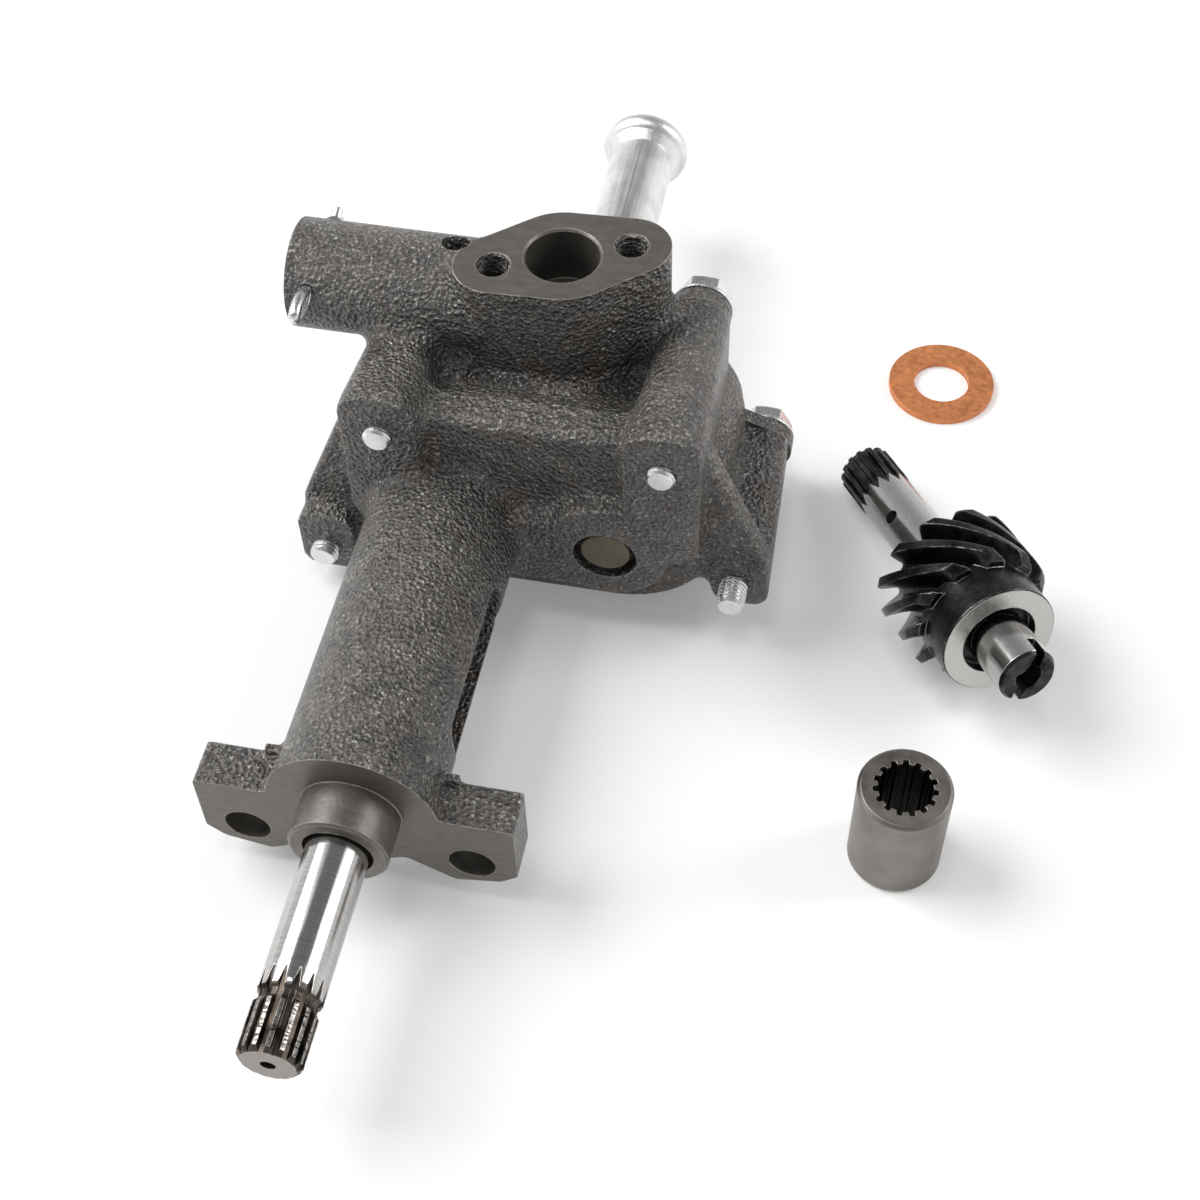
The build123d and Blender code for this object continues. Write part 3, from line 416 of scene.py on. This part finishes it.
# ---- Split pin: half-round wire folded on its flat side, with an eye and two spread legs ----
eye_middle_y = 114.0
eye_half_length = 4.4
eye_half_width = 1.5
wire_width = 3.2
wire_thickness = 1.55
# Each step along the wire is (y, z above the pin's axis, direction of the wire's round side).
folded = [
    (
        eye_middle_y - eye_half_length * cos(turn),
        eye_half_width * sin(turn),
        Vector((0, -eye_half_width * cos(turn), eye_half_length * sin(turn))).normalized(),
    )
    for turn in (radians(-155 + 310 * step / 24) for step in range(25))
]
upper_leg = [(y, rise, Z) for y, rise in ((119.5, 0), (133, 0), (146.8, 0), (148.5, 0.4), (150.4, 1.1))]
lower_leg = [(y, -rise, -Z) for y, rise, _ in reversed(upper_leg)]
half_round = [(cos(pi * k / 8) * wire_width / 2, sin(pi * k / 8) * wire_thickness) for k in range(9)]
wire_rings = [
    [at(pin_x + across, y, pin_z + rise) + side * out * mm for across, out in half_round]
    for y, rise, side in lower_leg + folded + upper_leg
]
split_pin = new_piece("split_pin", tube_of_rings(wire_rings))
finish_piece(split_pin, "relief_split_pin", sharp=50)


# ---- Relief spring: round wire, coiled over the length of the model's spring ----------------
spring_wire_radius = 0.8 * mm
spring_turns = 5
spring_steps = 24 * spring_turns
spring_axis = at(0, barrel_y, barrel_z)
solid_spring = [vertex.co for vertex in nodes["relief_spring"].data.vertices]
spring_first = min(place.x for place in solid_spring) + spring_wire_radius
spring_last = max(place.x for place in solid_spring) - spring_wire_radius
coil_radius = max(place.z for place in solid_spring) - spring_axis.z - spring_wire_radius
spring_rise = (spring_last - spring_first) / (2 * pi * spring_turns)
coil = []
for step in range(spring_steps + 1):
    turn = 2 * pi * spring_turns * step / spring_steps
    outward = Y * cos(turn) + Z * sin(turn)
    onward = (X * spring_rise + X.cross(outward) * coil_radius).normalized()
    middle = spring_axis + X * (spring_first + spring_rise * turn) + outward * coil_radius
    coil.append(ring(axes(middle, onward, outward), spring_wire_radius, 0, sides=10))
coil_spring = new_piece("coil_spring", tube_of_rings(coil))
coil_spring.data.shade_smooth()
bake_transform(coil_spring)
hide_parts("relief_spring")


# ---- Shafts: spline gaps that run out to a point, and a slotted end -------------------------
shaft_radius = 8.0
spline_teeth = 15
drive_end_y = -68.0
groove_start = 13.2
sunk_end = 27.0
new_end_length = 30.0


def polar(place, turn, radius, along):
    """Place at a turn and radius round the Z axis of place, in millimetres."""
    return place @ at(radius * cos(turn), radius * sin(turn), along)


def beyond(piece, place, ahead):
    """Bmesh of the part of a piece that lies ahead of a place, closed where it is cut off."""
    shape = read(piece)
    bmesh.ops.remove_doubles(shape, verts=shape.verts, dist=0.001 * mm)
    whole = [*shape.verts, *shape.edges, *shape.faces]
    bmesh.ops.bisect_plane(shape, geom=whole, plane_co=place, plane_no=ahead, clear_inner=True)
    bmesh.ops.holes_fill(shape, edges=[edge for edge in shape.edges if edge.is_boundary])
    return shape


def spline_gap(place, turn, steps):
    """Gap between two spline teeth.

    steps lists (distance, depth, half width at the root, half width at the mouth), the widths as
    shares of the pitch.
    """
    pitch = 2 * pi / spline_teeth
    rings = []
    for along, depth, root, mouth in steps:
        side = ((shaft_radius - depth, -root), (shaft_radius, -mouth), (shaft_radius + 1, -mouth))
        corners = (*side, *((radius, -share) for radius, share in reversed(side)))
        rings.append([polar(place, turn + share * pitch, radius, along) for radius, share in corners])
    return tube_of_rings(rings)


def spline_gaps(place, steps):
    """All the gaps of a splined end."""
    return [spline_gap(place, 2 * pi * k / spline_teeth, steps) for k in range(spline_teeth)]


drive_start = at(0, drive_end_y, 0)
drive_place = axes(drive_start, Y, X)
drive_profile = (
    (0, 6.8),
    (1.3, shaft_radius),
    (groove_start, shaft_radius),
    (14.1, 7.1),
    (16.0, 7.1),
    (16.9, shaft_radius),
    (19, shaft_radius),
    (21, shaft_radius),
    (23, shaft_radius),
    (new_end_length, shaft_radius),
)
drive_end = new_piece("drive_end", lathe(drive_start, Y, drive_profile, sides=90))
drive_gap_steps = ((-1, 1.35, 0.2, 0.34), (15.5, 1.35, 0.2, 0.34), (21.6, 0.0, 0.03, 0.05))
centre_drill = lathe(drive_start, Y, ((-1, 1.9), (0, 1.9), (3.5, 1.5)))
cut(drive_end, *spline_gaps(drive_place, drive_gap_steps), centre_drill)
drive_rear = beyond(nodes["drive_shaft"], at(0, drive_end_y + new_end_length, 0), Y)
dressed_shaft = new_piece("dressed_shaft", merge(read(drive_end), drive_rear))
bpy.data.objects.remove(drive_end)
finish_piece(dressed_shaft, "drive_shaft", "drive", sharp=12)

pinion_heading = radians(-59.1)
pinion_tilt = radians(13.31)
pinion_start = at(109.9, 156.1, bench_z + 7.785)
pinion_side = Vector((-sin(pinion_heading), cos(pinion_heading), 0))
pinion_ahead = Vector(
    (cos(pinion_heading) * cos(pinion_tilt), sin(pinion_heading) * cos(pinion_tilt), sin(pinion_tilt))
)
pinion_place = axes(pinion_start, pinion_ahead, pinion_side)
pinion_length = 100.2
slot_turn = radians(63)
slot_half_width = 1.5
slot_half_length = 12
slot_depth = 6.0
end_bore_radius = 3.7
end_bore_depth = 9
oil_hole_radius = 2
oil_hole_depth = 9
oil_hole_along = 30.5
oil_hole_turn = radians(138)
pinion_profile = (
    (0, 7.2),
    (0.8, shaft_radius),
    *((along, shaft_radius) for along in (9, 14.5, 17, 26, oil_hole_along, 35, 60, 85, 93)),
    (pinion_length - 1, shaft_radius),
    (pinion_length, 7.3),
)
pinion_bar = lathe(pinion_start, pinion_ahead, pinion_profile, sides=90)
dressed_pinion_shaft = new_piece("dressed_pinion_shaft", pinion_bar)
slot_along = Vector((cos(slot_turn), sin(slot_turn), 0))
slot_across = Vector((-sin(slot_turn), cos(slot_turn), 0))
slot_mouth = Z * (pinion_length + 1) * mm
slot_corners = [
    pinion_place @ (slot_along * a * slot_half_length * mm + slot_across * b * slot_half_width * mm + slot_mouth)
    for a, b in ((-1, -1), (1, -1), (1, 1), (-1, 1))
]
pinion_upward = pinion_ahead.cross(pinion_side)
oil_hole_ahead = pinion_side * cos(oil_hole_turn) + pinion_upward * sin(oil_hole_turn)
pinion_gap_steps = ((-1, 1.25, 0.21, 0.31), (14.5, 1.25, 0.21, 0.31), (17.5, 0.0, 0.03, 0.05))
slot = prism(slot_corners, -pinion_ahead * (slot_depth + 1) * mm)
end_bore = [(along, end_bore_radius) for along in (pinion_length - end_bore_depth, pinion_length + 1)]
oil_hole_start = pinion_place @ (Z * oil_hole_along * mm)
oil_hole = [(along, oil_hole_radius) for along in (0, oil_hole_depth)]
cut(
    dressed_pinion_shaft,
    *spline_gaps(pinion_place, pinion_gap_steps),
    slot,
    lathe(pinion_start, pinion_ahead, end_bore),
    lathe(oil_hole_start, oil_hole_ahead, oil_hole, sides=32),
)
finish_piece(dressed_pinion_shaft, "pinion_shaft", "pinion", sharp=12)


# ---- Helical gear with full teeth, rounded roots and a ground hub face ----------------------
gear_start = 52.2
gear_end = 73.8
hub_end = 84.3
hub_radius = 16.2
hub_chamfer = 0.4
gear_hole_radius = 8.02
recess_radius = 10.5
recess_depth = 3.5
gear_teeth = 11
gear_twist = radians(-64.8)
gear_phase = 0.3
gear_tip = 20.6
gear_steps = 26
far_bevel = 0.9
hub_bevel = 2.2
hub_bevel_slope = 1.15
# One side of a tooth: (turn from its middle as a share of the pitch, radius).
tooth_side = (
    (0.5, 13.9),
    (0.4, 14.05),
    (0.335, 14.6),
    (0.265, 16.8),
    (0.2, 19.2),
    (0.15, 20.55),
    (0.11, gear_tip),
)
tooth = [(-part, radius) for part, radius in tooth_side]
tooth += [(part, radius) for part, radius in reversed(tooth_side[1:])]


def gear_ring(share):
    """Outline of the gear at a share of its length, its tips bevelled a little, and more by the hub."""
    along = gear_start + (gear_end - gear_start) * share
    bevel = max(0, far_bevel - (along - gear_start), hub_bevel_slope * (hub_bevel - (gear_end - along)))
    turn = gear_twist * share + 2 * pi * gear_phase / gear_teeth
    outline = []
    for k in range(gear_teeth):
        for part, radius in tooth:
            tooth_turn = turn + 2 * pi * (k + part) / gear_teeth
            outline.append(polar(pinion_place, tooth_turn, min(radius, gear_tip - bevel), along))
    return outline


shares = [0, 0.02, 0.04, *(step / gear_steps for step in range(2, gear_steps - 1)), 0.96, 0.98, 1]
pinion_helical = new_piece("pinion_helical", tube_of_rings([gear_ring(share) for share in shares]))
hub_profile = (
    (gear_end - 3, hub_radius),
    (hub_end - hub_chamfer, hub_radius),
    (hub_end, hub_radius - hub_chamfer),
)
cut(pinion_helical, lathe(pinion_start, pinion_ahead, hub_profile, sides=96), operation="UNION")
recess_start = hub_end - recess_depth
hub_bore = (
    (gear_start - 2, gear_hole_radius),
    (recess_start, gear_hole_radius),
    (recess_start, recess_radius),
    (hub_end + 2, recess_radius),
)
cut(pinion_helical, lathe(pinion_start, pinion_ahead, hub_bore))
finish_piece(pinion_helical, "pinion_gear", "pinion", sharp=32)


# ---- Short spellings for building a node material -------------------------------------------
class Nodes:
    """A node tree. A value is a number, a colour or the output socket of another node."""

    def __init__(self, tree):
        self.tree = tree

    def add(self, kind, **settings):
        """Adds a node and sets its plain settings."""
        node = self.tree.nodes.new(kind)
        for name, value in settings.items():
            setattr(node, name, value)
        return node

    def feed(self, socket, value):
        """Links a socket to another one, or gives it a fixed value."""
        if isinstance(value, bpy.types.NodeSocket):
            self.tree.links.new(value, socket)
        elif isinstance(value, tuple) and len(value) == 3 and socket.type == "RGBA":
            socket.default_value = (*value, 1)
        else:
            socket.default_value = value

    def math(self, operation, first, second=0.0):
        """Result of a Math node."""
        node = self.add("ShaderNodeMath", operation=operation)
        for socket, value in zip(node.inputs, (first, second)):
            self.feed(socket, value)
        return node.outputs[0]

    def spread(self, value, low, high, to_low=0.0, to_high=1.0):
        """Maps a value from one range to another, held inside it."""
        node = self.add("ShaderNodeMapRange")
        names = ("Value", "From Min", "From Max", "To Min", "To Max")
        for name, number in zip(names, (value, low, high, to_low, to_high)):
            self.feed(node.inputs[name], number)
        return node.outputs["Result"]

    def parts(self, vector):
        """The x, y and z of a vector."""
        node = self.add("ShaderNodeSeparateXYZ")
        self.feed(node.inputs[0], vector)
        return node.outputs

    def seen_white(self, lit, share, level=1.0):
        """Lit surface with a plain white glow mixed in, for camera, mirror and glass rays only."""
        glow = self.add("ShaderNodeEmission")
        glow.inputs["Color"].default_value = (1, 1, 1, 1)
        self.feed(glow.inputs["Strength"], level)
        path = self.add("ShaderNodeLightPath").outputs
        mirror = self.math("MAXIMUM", path["Is Glossy Ray"], path["Is Transmission Ray"])
        seen = self.math("MAXIMUM", path["Is Camera Ray"], mirror)
        blend = self.add("ShaderNodeMixShader")
        self.feed(blend.inputs[0], self.math("MULTIPLY", seen, share))
        self.feed(blend.inputs[1], lit)
        self.feed(blend.inputs[2], glow.outputs[0])
        return blend.outputs[0]


class Shader(Nodes):
    """One Principled material."""

    def __init__(self, name):
        self.material = bpy.data.materials.new(name)
        self.material.use_nodes = True
        super().__init__(self.material.node_tree)
        self.surface = self.tree.nodes["Principled BSDF"]
        self.place = self.add("ShaderNodeTexCoord").outputs["Object"]
        self.true_normal = self.add("ShaderNodeNewGeometry").outputs["True Normal"]

    def set(self, **values):
        """Feeds sockets of the Principled shader, named with underscores."""
        for name, value in values.items():
            label = name.replace("_", " ").title().replace("Ior", "IOR")
            self.feed(self.surface.inputs[label], value)

    def along(self, start, ahead):
        """Distance from a place, measured along a direction."""
        offset = self.add("ShaderNodeVectorMath", operation="SUBTRACT")
        self.feed(offset.inputs[0], self.place)
        offset.inputs[1].default_value = start
        dot = self.add("ShaderNodeVectorMath", operation="DOT_PRODUCT")
        self.feed(dot.inputs[0], offset.outputs[0])
        dot.inputs[1].default_value = ahead
        return dot.outputs["Value"]

    def off_axis(self, start, ahead, sideways):
        """Distance from an axis, and the turn round it from sideways, both at the shaded place."""
        across = self.along(start, sideways)
        upward = self.along(start, ahead.cross(sideways))
        squares = self.math("ADD", self.math("POWER", across, 2.0), self.math("POWER", upward, 2.0))
        return self.math("SQRT", squares), self.math("ARCTAN2", upward, across)

    def below(self, value, limit):
        """1 where a value is less than a limit, else 0."""
        return self.math("LESS_THAN", value, limit)

    def above(self, value, limit):
        """1 where a value is more than a limit, else 0."""
        return self.math("GREATER_THAN", value, limit)

    def either(self, *masks):
        """The greatest of several masks."""
        whole = masks[0]
        for mask in masks[1:]:
            whole = self.math("MAXIMUM", whole, mask)
        return whole

    def both(self, first, second):
        """Product of two masks."""
        return self.math("MULTIPLY", first, second)

    def noise(self, size, detail=3.0, stretch=(1, 1, 1), roughness=0.55):
        """Noise whose features are about size metres across, drawn out by stretch."""
        mapping = self.add("ShaderNodeMapping")
        self.feed(mapping.inputs["Vector"], self.place)
        mapping.inputs["Scale"].default_value = [1 / factor for factor in stretch]
        node = self.add("ShaderNodeTexNoise")
        self.feed(node.inputs["Vector"], mapping.outputs[0])
        node.inputs["Scale"].default_value = 1 / size
        node.inputs["Detail"].default_value = detail
        node.inputs["Roughness"].default_value = roughness
        return node.outputs["Fac"]

    def pits(self, size):
        """Rounded cells about size metres across: 0 at a cell's centre, growing outwards."""
        node = self.add("ShaderNodeTexVoronoi")
        self.feed(node.inputs["Vector"], self.place)
        node.inputs["Scale"].default_value = 1 / size
        return node.outputs["Distance"]

    def mix(self, factor, first, second):
        """Blend of two colours."""
        node = self.add("ShaderNodeMix", data_type="RGBA")
        colours = [socket for socket in node.inputs if socket.type == "RGBA"]
        self.feed(node.inputs["Factor"], factor)
        self.feed(colours[0], first)
        self.feed(colours[1], second)
        return next(socket for socket in node.outputs if socket.type == "RGBA")

    def rounded(self, radius):
        """Normal rounded over edges, and a mask that is 1 on sharp edges and 0 on flat faces."""
        node = self.add("ShaderNodeBevel", samples=6)
        node.inputs["Radius"].default_value = radius
        dot = self.add("ShaderNodeVectorMath", operation="DOT_PRODUCT")
        self.feed(dot.inputs[0], node.outputs[0])
        self.feed(dot.inputs[1], self.true_normal)
        return node.outputs[0], self.spread(dot.outputs["Value"], 0.995, 0.85)

    def bump(self, height, depth, strength, normal):
        """Relief of depth metres on a normal. Strength may follow a mask."""
        node = self.add("ShaderNodeBump")
        self.feed(node.inputs["Height"], height)
        self.feed(node.inputs["Distance"], depth)
        self.feed(node.inputs["Strength"], strength)
        self.feed(node.inputs["Normal"], normal)
        return node.outputs[0]


def dress(shader, *names):
    """Gives CAD nodes or pieces one material."""
    for name in names:
        piece = nodes[name] if isinstance(name, str) else name
        piece.data.materials.clear()
        piece.data.materials.append(shader.material)


# ---- Cast iron, rough where it was cast and smoother where it was machined ------------------
iron_dark = (0.062, 0.056, 0.051)
iron_light = (0.115, 0.106, 0.097)
iron_brown = (0.11, 0.07, 0.048)
iron_cut_dark = (0.115, 0.105, 0.094)
iron_cut_light = (0.16, 0.147, 0.132)
# iron_worn_and_glint is the lighter colour of the worn edges and of the painted glints.
iron_worn_and_glint = (0.5, 0.48, 0.45)
# iron_pit_shade is painted shade for the pits of the casting grit.
iron_pit_shade = (0.025, 0.022, 0.02)


def cast_iron(name, machined):
    """Rough grey-brown casting. machined gives a mask of the cut faces, from the shader."""
    shader = Shader(name)
    cut_faces = machined(shader)
    rough = shader.math("SUBTRACT", 1.0, cut_faces)
    lumps = shader.noise(3.5 * mm, detail=2)
    grit = shader.noise(1.0 * mm, detail=2, roughness=0.6)
    pebbles = shader.pits(1.2 * mm)
    relief = shader.math("ADD", shader.math("MULTIPLY", lumps, 0.6), shader.math("ADD", grit, pebbles))
    rounded_normal, edges = shader.rounded(0.5 * mm)
    tone = shader.mix(shader.spread(shader.noise(8 * mm), 0.35, 0.65), iron_dark, iron_light)
    rust = shader.math("MULTIPLY", shader.spread(shader.noise(13 * mm, detail=4), 0.55, 0.75), 0.45)
    stained = shader.mix(rust, tone, iron_brown)
    # Painted shade: the pits of the grit are darkened in the colour, on top of the bump that makes them.
    pit_shade = shader.math("MULTIPLY", shader.spread(pebbles, 0.45, 0.2), 0.5)
    shaded = shader.mix(pit_shade, stained, iron_pit_shade)
    # Painted highlight: bright specks of the grit are lightened in the colour, as glints.
    painted_glints = shader.spread(grit, 0.56, 0.7)
    speckled = shader.mix(shader.math("MULTIPLY", painted_glints, 0.6), shaded, iron_worn_and_glint)
    marks = shader.noise(1.6 * mm, stretch=(3, 1, 1))
    cut_tone = shader.mix(shader.spread(marks, 0.3, 0.7), iron_cut_dark, iron_cut_light)
    colour = shader.mix(cut_faces, speckled, cut_tone)
    # The edges are lightened in the colour: partly wear, partly a painted highlight along the rims.
    worn_and_lit_edges = shader.math("MULTIPLY", edges, shader.spread(shader.noise(2.5 * mm), 0.33, 0.5))
    shader.set(
        base_color=shader.mix(shader.math("MULTIPLY", worn_and_lit_edges, 0.9), colour, iron_worn_and_glint),
        metallic=shader.spread(cut_faces, 0, 1, 0.3, 0.6),
        roughness=shader.spread(cut_faces, 0, 1, 0.3, 0.42),
        specular_ior_level=1.0,
        normal=shader.bump(relief, 0.9 * mm, shader.spread(rough, 0, 1, 0.04, 1.0), rounded_normal),
    )
    return shader


def body_machined(shader):
    """Flange face, joint face, ear face, spigot, and the walls of the smooth holes."""
    y, z = shader.parts(shader.place)[1:3]
    flange_face = shader.above(z, (flange_z - near) * mm)
    mounting_end = shader.below(y, near * mm)
    from_joint = shader.math("ABSOLUTE", shader.math("SUBTRACT", y, joint_y * mm))
    joint_face = shader.both(shader.below(from_joint, near * mm), shader.below(z, joint_top_z * mm))
    cut_faces = shader.either(flange_face, mounting_end, joint_face)
    for mouth, ahead, profile, _ in smooth_holes:
        radius = shader.off_axis(mouth, ahead, X)[0]
        walls = shader.below(radius, (profile[0][1] + 0.08) * mm)
        shallow = shader.below(shader.along(mouth, ahead), (profile[-1][0] + 0.1) * mm)
        cut_faces = shader.either(cut_faces, shader.both(walls, shallow))
    return cut_faces


def cover_machined(shader):
    """Joint face of the cover."""
    return shader.below(shader.parts(shader.place)[1], (joint_y + near) * mm)


body_iron = cast_iron("body_iron", body_machined)
dress(body_iron, casting, outlet_thread_cut)
dress(cast_iron("cover_iron", cover_machined), "pump_cover")


# ---- Steels, bronze and copper --------------------------------------------------------------
across_shaft = (60, 1, 60)
along_shaft = (1, 60, 1)
no_grain = (1, 1, 1)
# bore_shade_black is painted shade inside the coupling's bore.
bore_shade_black = (0.018, 0.016, 0.014)
coupling_mouth = at(132.7, 32.9, -1.1)


def bare_metal(
    name,
    colour,
    roughness,
    metallic=1.0,
    grain=no_grain,
    grain_depth=0.01 * mm,
    grain_size=0.6 * mm,
    edge=0.3 * mm,
    blackened=None,
):
    """Bare metal with fine marks drawn out by grain, and lighter worn edges.

    blackened gives a mask of the places painted near black as shade, from the shader.
    """
    shader = Shader(name)
    rounded_normal, edges = shader.rounded(edge)
    marks = shader.noise(grain_size, stretch=grain)
    clouds = shader.noise(7 * mm)
    darker = tuple(channel * 0.78 for channel in colour)
    lighter = tuple(min(channel * 1.3, 0.92) for channel in colour)
    tone = shader.mix(shader.spread(clouds, 0.35, 0.65), darker, colour)
    tone = shader.mix(shader.math("MULTIPLY", shader.spread(marks, 0.4, 0.7), 0.35), tone, lighter)
    if blackened:
        # Painted shade: the masked places are darkened to near black.
        tone = shader.mix(blackened(shader), tone, bore_shade_black)
    shader.set(
        base_color=shader.mix(shader.math("MULTIPLY", edges, 0.6), tone, lighter),
        metallic=metallic,
        roughness=shader.spread(marks, 0.3, 0.7, roughness * 0.8, roughness * 1.25),
        normal=shader.bump(marks, grain_depth, 1.0, rounded_normal),
    )
    return shader


def coupling_bore(shader):
    """Splined inside of the coupling below its mouth: painted shade, near black past 1.5 mm."""
    inside = shader.below(shader.off_axis(coupling_mouth, -Z, X)[0], 8.6 * mm)
    return shader.both(inside, shader.spread(shader.along(coupling_mouth, -Z), 0.0, 1.5 * mm))


bronze = bare_metal("bush_bronze", (0.55, 0.42, 0.26), 0.34, grain=across_shaft)
ground = bare_metal("ground_steel", (0.6, 0.59, 0.57), 0.22, grain=across_shaft)
zinc = bare_metal("zinc_plate", (0.8, 0.81, 0.82), 0.26)
tube = bare_metal("tube_steel", (0.82, 0.82, 0.82), 0.38, grain=along_shaft, grain_depth=0.015 * mm)
gears = bare_metal("gear_steel", (0.36, 0.35, 0.33), 0.33, grain=along_shaft)
spring = bare_metal("spring_steel", (0.3, 0.3, 0.31), 0.3)
idler_pin = bare_metal("idler_pin_steel", (0.15, 0.13, 0.1), 0.45)
coupling = bare_metal(
    "coupling_steel",
    (0.235, 0.215, 0.195),
    0.4,
    grain=(12, 12, 1),
    edge=0.4 * mm,
    blackened=coupling_bore,
)
copper = bare_metal("washer_copper", (0.7, 0.275, 0.11), 0.5, grain_size=1.5 * mm, metallic=0.7)
dress(zinc, bolt_set, split_pin)
dress(ground, "cover_dowels", "drive_gear_key", "relief_piston", "relief_seat_plate")
dress(tube, "pickup_tube")
dress(gears, "drive_gear", "idler_gear")
dress(spring, coil_spring)
dress(bronze, "front_bush", "rear_bush", "cover_bush", "idler_bush")
dress(idler_pin, "idler_pin")
dress(coupling, "coupling_sleeve")
dress(copper, "thrust_washer")


steel_dull = (0.46, 0.45, 0.44)
steel_bright = (0.56, 0.55, 0.54)
steel_sawn = (0.27, 0.245, 0.225)
oxide_rubbed = (0.62, 0.58, 0.52)
gear_rubbed = (0.54, 0.53, 0.51)
brown_oxide = ((0.016, 0.014, 0.012), (0.1, 0.08, 0.065))
black_oxide = ((0.012, 0.012, 0.013), (0.05, 0.048, 0.046))


def shaft_steel(name, grain, oxide, oxide_mask, end_mask=None):
    """Ground shaft steel, with two tones of oxide where oxide_mask says, and a sawn end at end_mask."""
    shader = Shader(name)
    rounded_normal, edges = shader.rounded(0.15 * mm)
    rings = shader.noise(0.5 * mm, stretch=grain)
    blotches = shader.noise(5 * mm, detail=4)
    bright = shader.mix(shader.spread(rings, 0.35, 0.65), steel_dull, steel_bright)
    film = shader.mix(shader.spread(blotches, 0.4, 0.62), *oxide)
    if end_mask:
        film = shader.mix(end_mask(shader), film, steel_sawn)
    rubbed = shader.math("MULTIPLY", edges, shader.spread(blotches, 0.4, 0.7))
    mask = oxide_mask(shader)
    shader.set(
        base_color=shader.mix(mask, bright, shader.mix(rubbed, film, oxide_rubbed)),
        metallic=1.0,
        roughness=shader.spread(mask, 0, 1, 0.17, 0.36),
        normal=shader.bump(rings, 0.004 * mm, 1.0, rounded_normal),
    )
    return shader


def drive_spline_mask(shader):
    """The gaps, groove and end of the drive shaft's splined end, and most of its stained crests."""
    distance = shader.along(drive_start, Y)
    radius = shader.off_axis(drive_start, Y, X)[0]
    in_gaps = shader.below(radius, (shaft_radius - 0.08) * mm)
    sunk = shader.both(in_gaps, shader.below(distance, sunk_end * mm))
    stains = shader.spread(shader.noise(2.2 * mm, stretch=(1, 0.25, 1)), 0.4, 0.58, 0.35, 0.97)
    return shader.either(sunk, shader.both(shader.below(distance, groove_start * mm), stains))


def drive_end_mask(shader):
    """The flat end of the drive shaft."""
    return shader.below(shader.along(drive_start, Y), near * mm)


def pinion_end_mask(shader):
    """The splined end of the pinion shaft, as far as its gaps run, and its slotted end."""
    distance = shader.along(pinion_start, pinion_ahead)
    radius, turn = shader.off_axis(pinion_start, pinion_ahead, pinion_side)
    point = shader.math("PINGPONG", shader.math("MULTIPLY", turn, spline_teeth / pi), 1.0)
    splined = shader.below(distance, shader.spread(point, 0.0, 1.0, 18.5 * mm, 14.5 * mm))
    near_end = shader.above(distance, (pinion_length - 5.2) * mm)
    slot = shader.both(near_end, shader.below(radius, 7.6 * mm))
    end_face = shader.above(distance, (pinion_length - 0.9) * mm)
    return shader.either(splined, end_face, slot)


dress(
    shaft_steel("drive_shaft_steel", across_shaft, brown_oxide, drive_spline_mask, drive_end_mask),
    dressed_shaft,
)
dress(shaft_steel("pinion_shaft_steel", no_grain, black_oxide, pinion_end_mask), dressed_pinion_shaft)

black = Shader("black_oxide")
black_normal, black_edges = black.rounded(0.45 * mm)
hub_face = black.above(black.along(pinion_start, pinion_ahead), (hub_end - 0.1) * mm)
black_film = black.mix(black.spread(black.noise(4 * mm, detail=4), 0.35, 0.65), *black_oxide)
worn = black.both(black_edges, black.spread(black.noise(3 * mm), 0.4, 0.6))
bare = black.either(black.both(worn, 0.8), black.both(hub_face, 0.95))
black.set(
    base_color=black.mix(bare, black_film, gear_rubbed),
    metallic=0.9,
    roughness=black.spread(black.noise(1.2 * mm), 0.3, 0.7, 0.24, 0.36),
    normal=black.bump(black.noise(0.7 * mm), 0.012 * mm, 1.0, black_normal),
)
dress(black, pinion_helical)


# ---- Bench, light and world -----------------------------------------------------------------
bench_reach = 4000
bench_glow = 0.2
sky_strength = 0.32
sky_glow = 0.8
lamp_target = (0.03, 0.09, 0)

bench = bpy.data.objects.new("bench", bpy.data.meshes.new("bench"))
bench_corners = [
    at(x * bench_reach, y * bench_reach, bench_z) for x, y in ((-1, -1), (1, -1), (1, 1), (-1, 1))
]
bench.data.from_pydata(bench_corners, [], [(0, 1, 2, 3)])
bpy.context.scene.collection.objects.link(bench)

paper = Shader("bench_white")
paper.set(base_color=(0.95, 0.95, 0.95), roughness=0.7, specular_ior_level=0.2)
bench_seen = paper.seen_white(paper.surface.outputs[0], bench_glow)
paper.feed(paper.tree.nodes["Material Output"].inputs["Surface"], bench_seen)
bench.data.materials.append(paper.material)

world = bpy.data.worlds.new("studio")
bpy.context.scene.world = world
world.use_nodes = True
studio = Nodes(world.node_tree)
sky = studio.tree.nodes["Background"]
sky.inputs["Color"].default_value = (1, 1, 1, 1)
sky.inputs["Strength"].default_value = sky_strength
# The studio is white near the floor and darker overhead, as polished metal shows.
sky_height = studio.parts(studio.add("ShaderNodeTexCoord").outputs["Generated"])[2]
sky_level = studio.spread(sky_height, 0.2, 0.7, 1.0, 0.2)
sky_seen = studio.seen_white(sky.outputs[0], sky_glow, sky_level)
studio.feed(studio.tree.nodes["World Output"].inputs["Surface"], sky_seen)


def softbox(name, place, aim, width, height, watts):
    """Rectangular area light at a place, turned to face a point."""
    lamp = bpy.data.lights.new(name, "AREA")
    lamp.shape = "RECTANGLE"
    lamp.size = width
    lamp.size_y = height
    lamp.energy = watts
    holder = bpy.data.objects.new(name, lamp)
    holder.location = place
    holder.rotation_euler = (Vector(aim) - Vector(place)).to_track_quat("-Z", "Y").to_euler()
    bpy.context.scene.collection.objects.link(holder)


softbox("key", (-1.3, 0.25, 1.45), lamp_target, 1.3, 1.3, 38.0)
softbox("overhead", (-0.1, -0.1, 1.9), lamp_target, 0.4, 0.4, 4.0)
softbox("side", (1.5, 0.6, 1.0), lamp_target, 0.6, 1.0, 12.0)
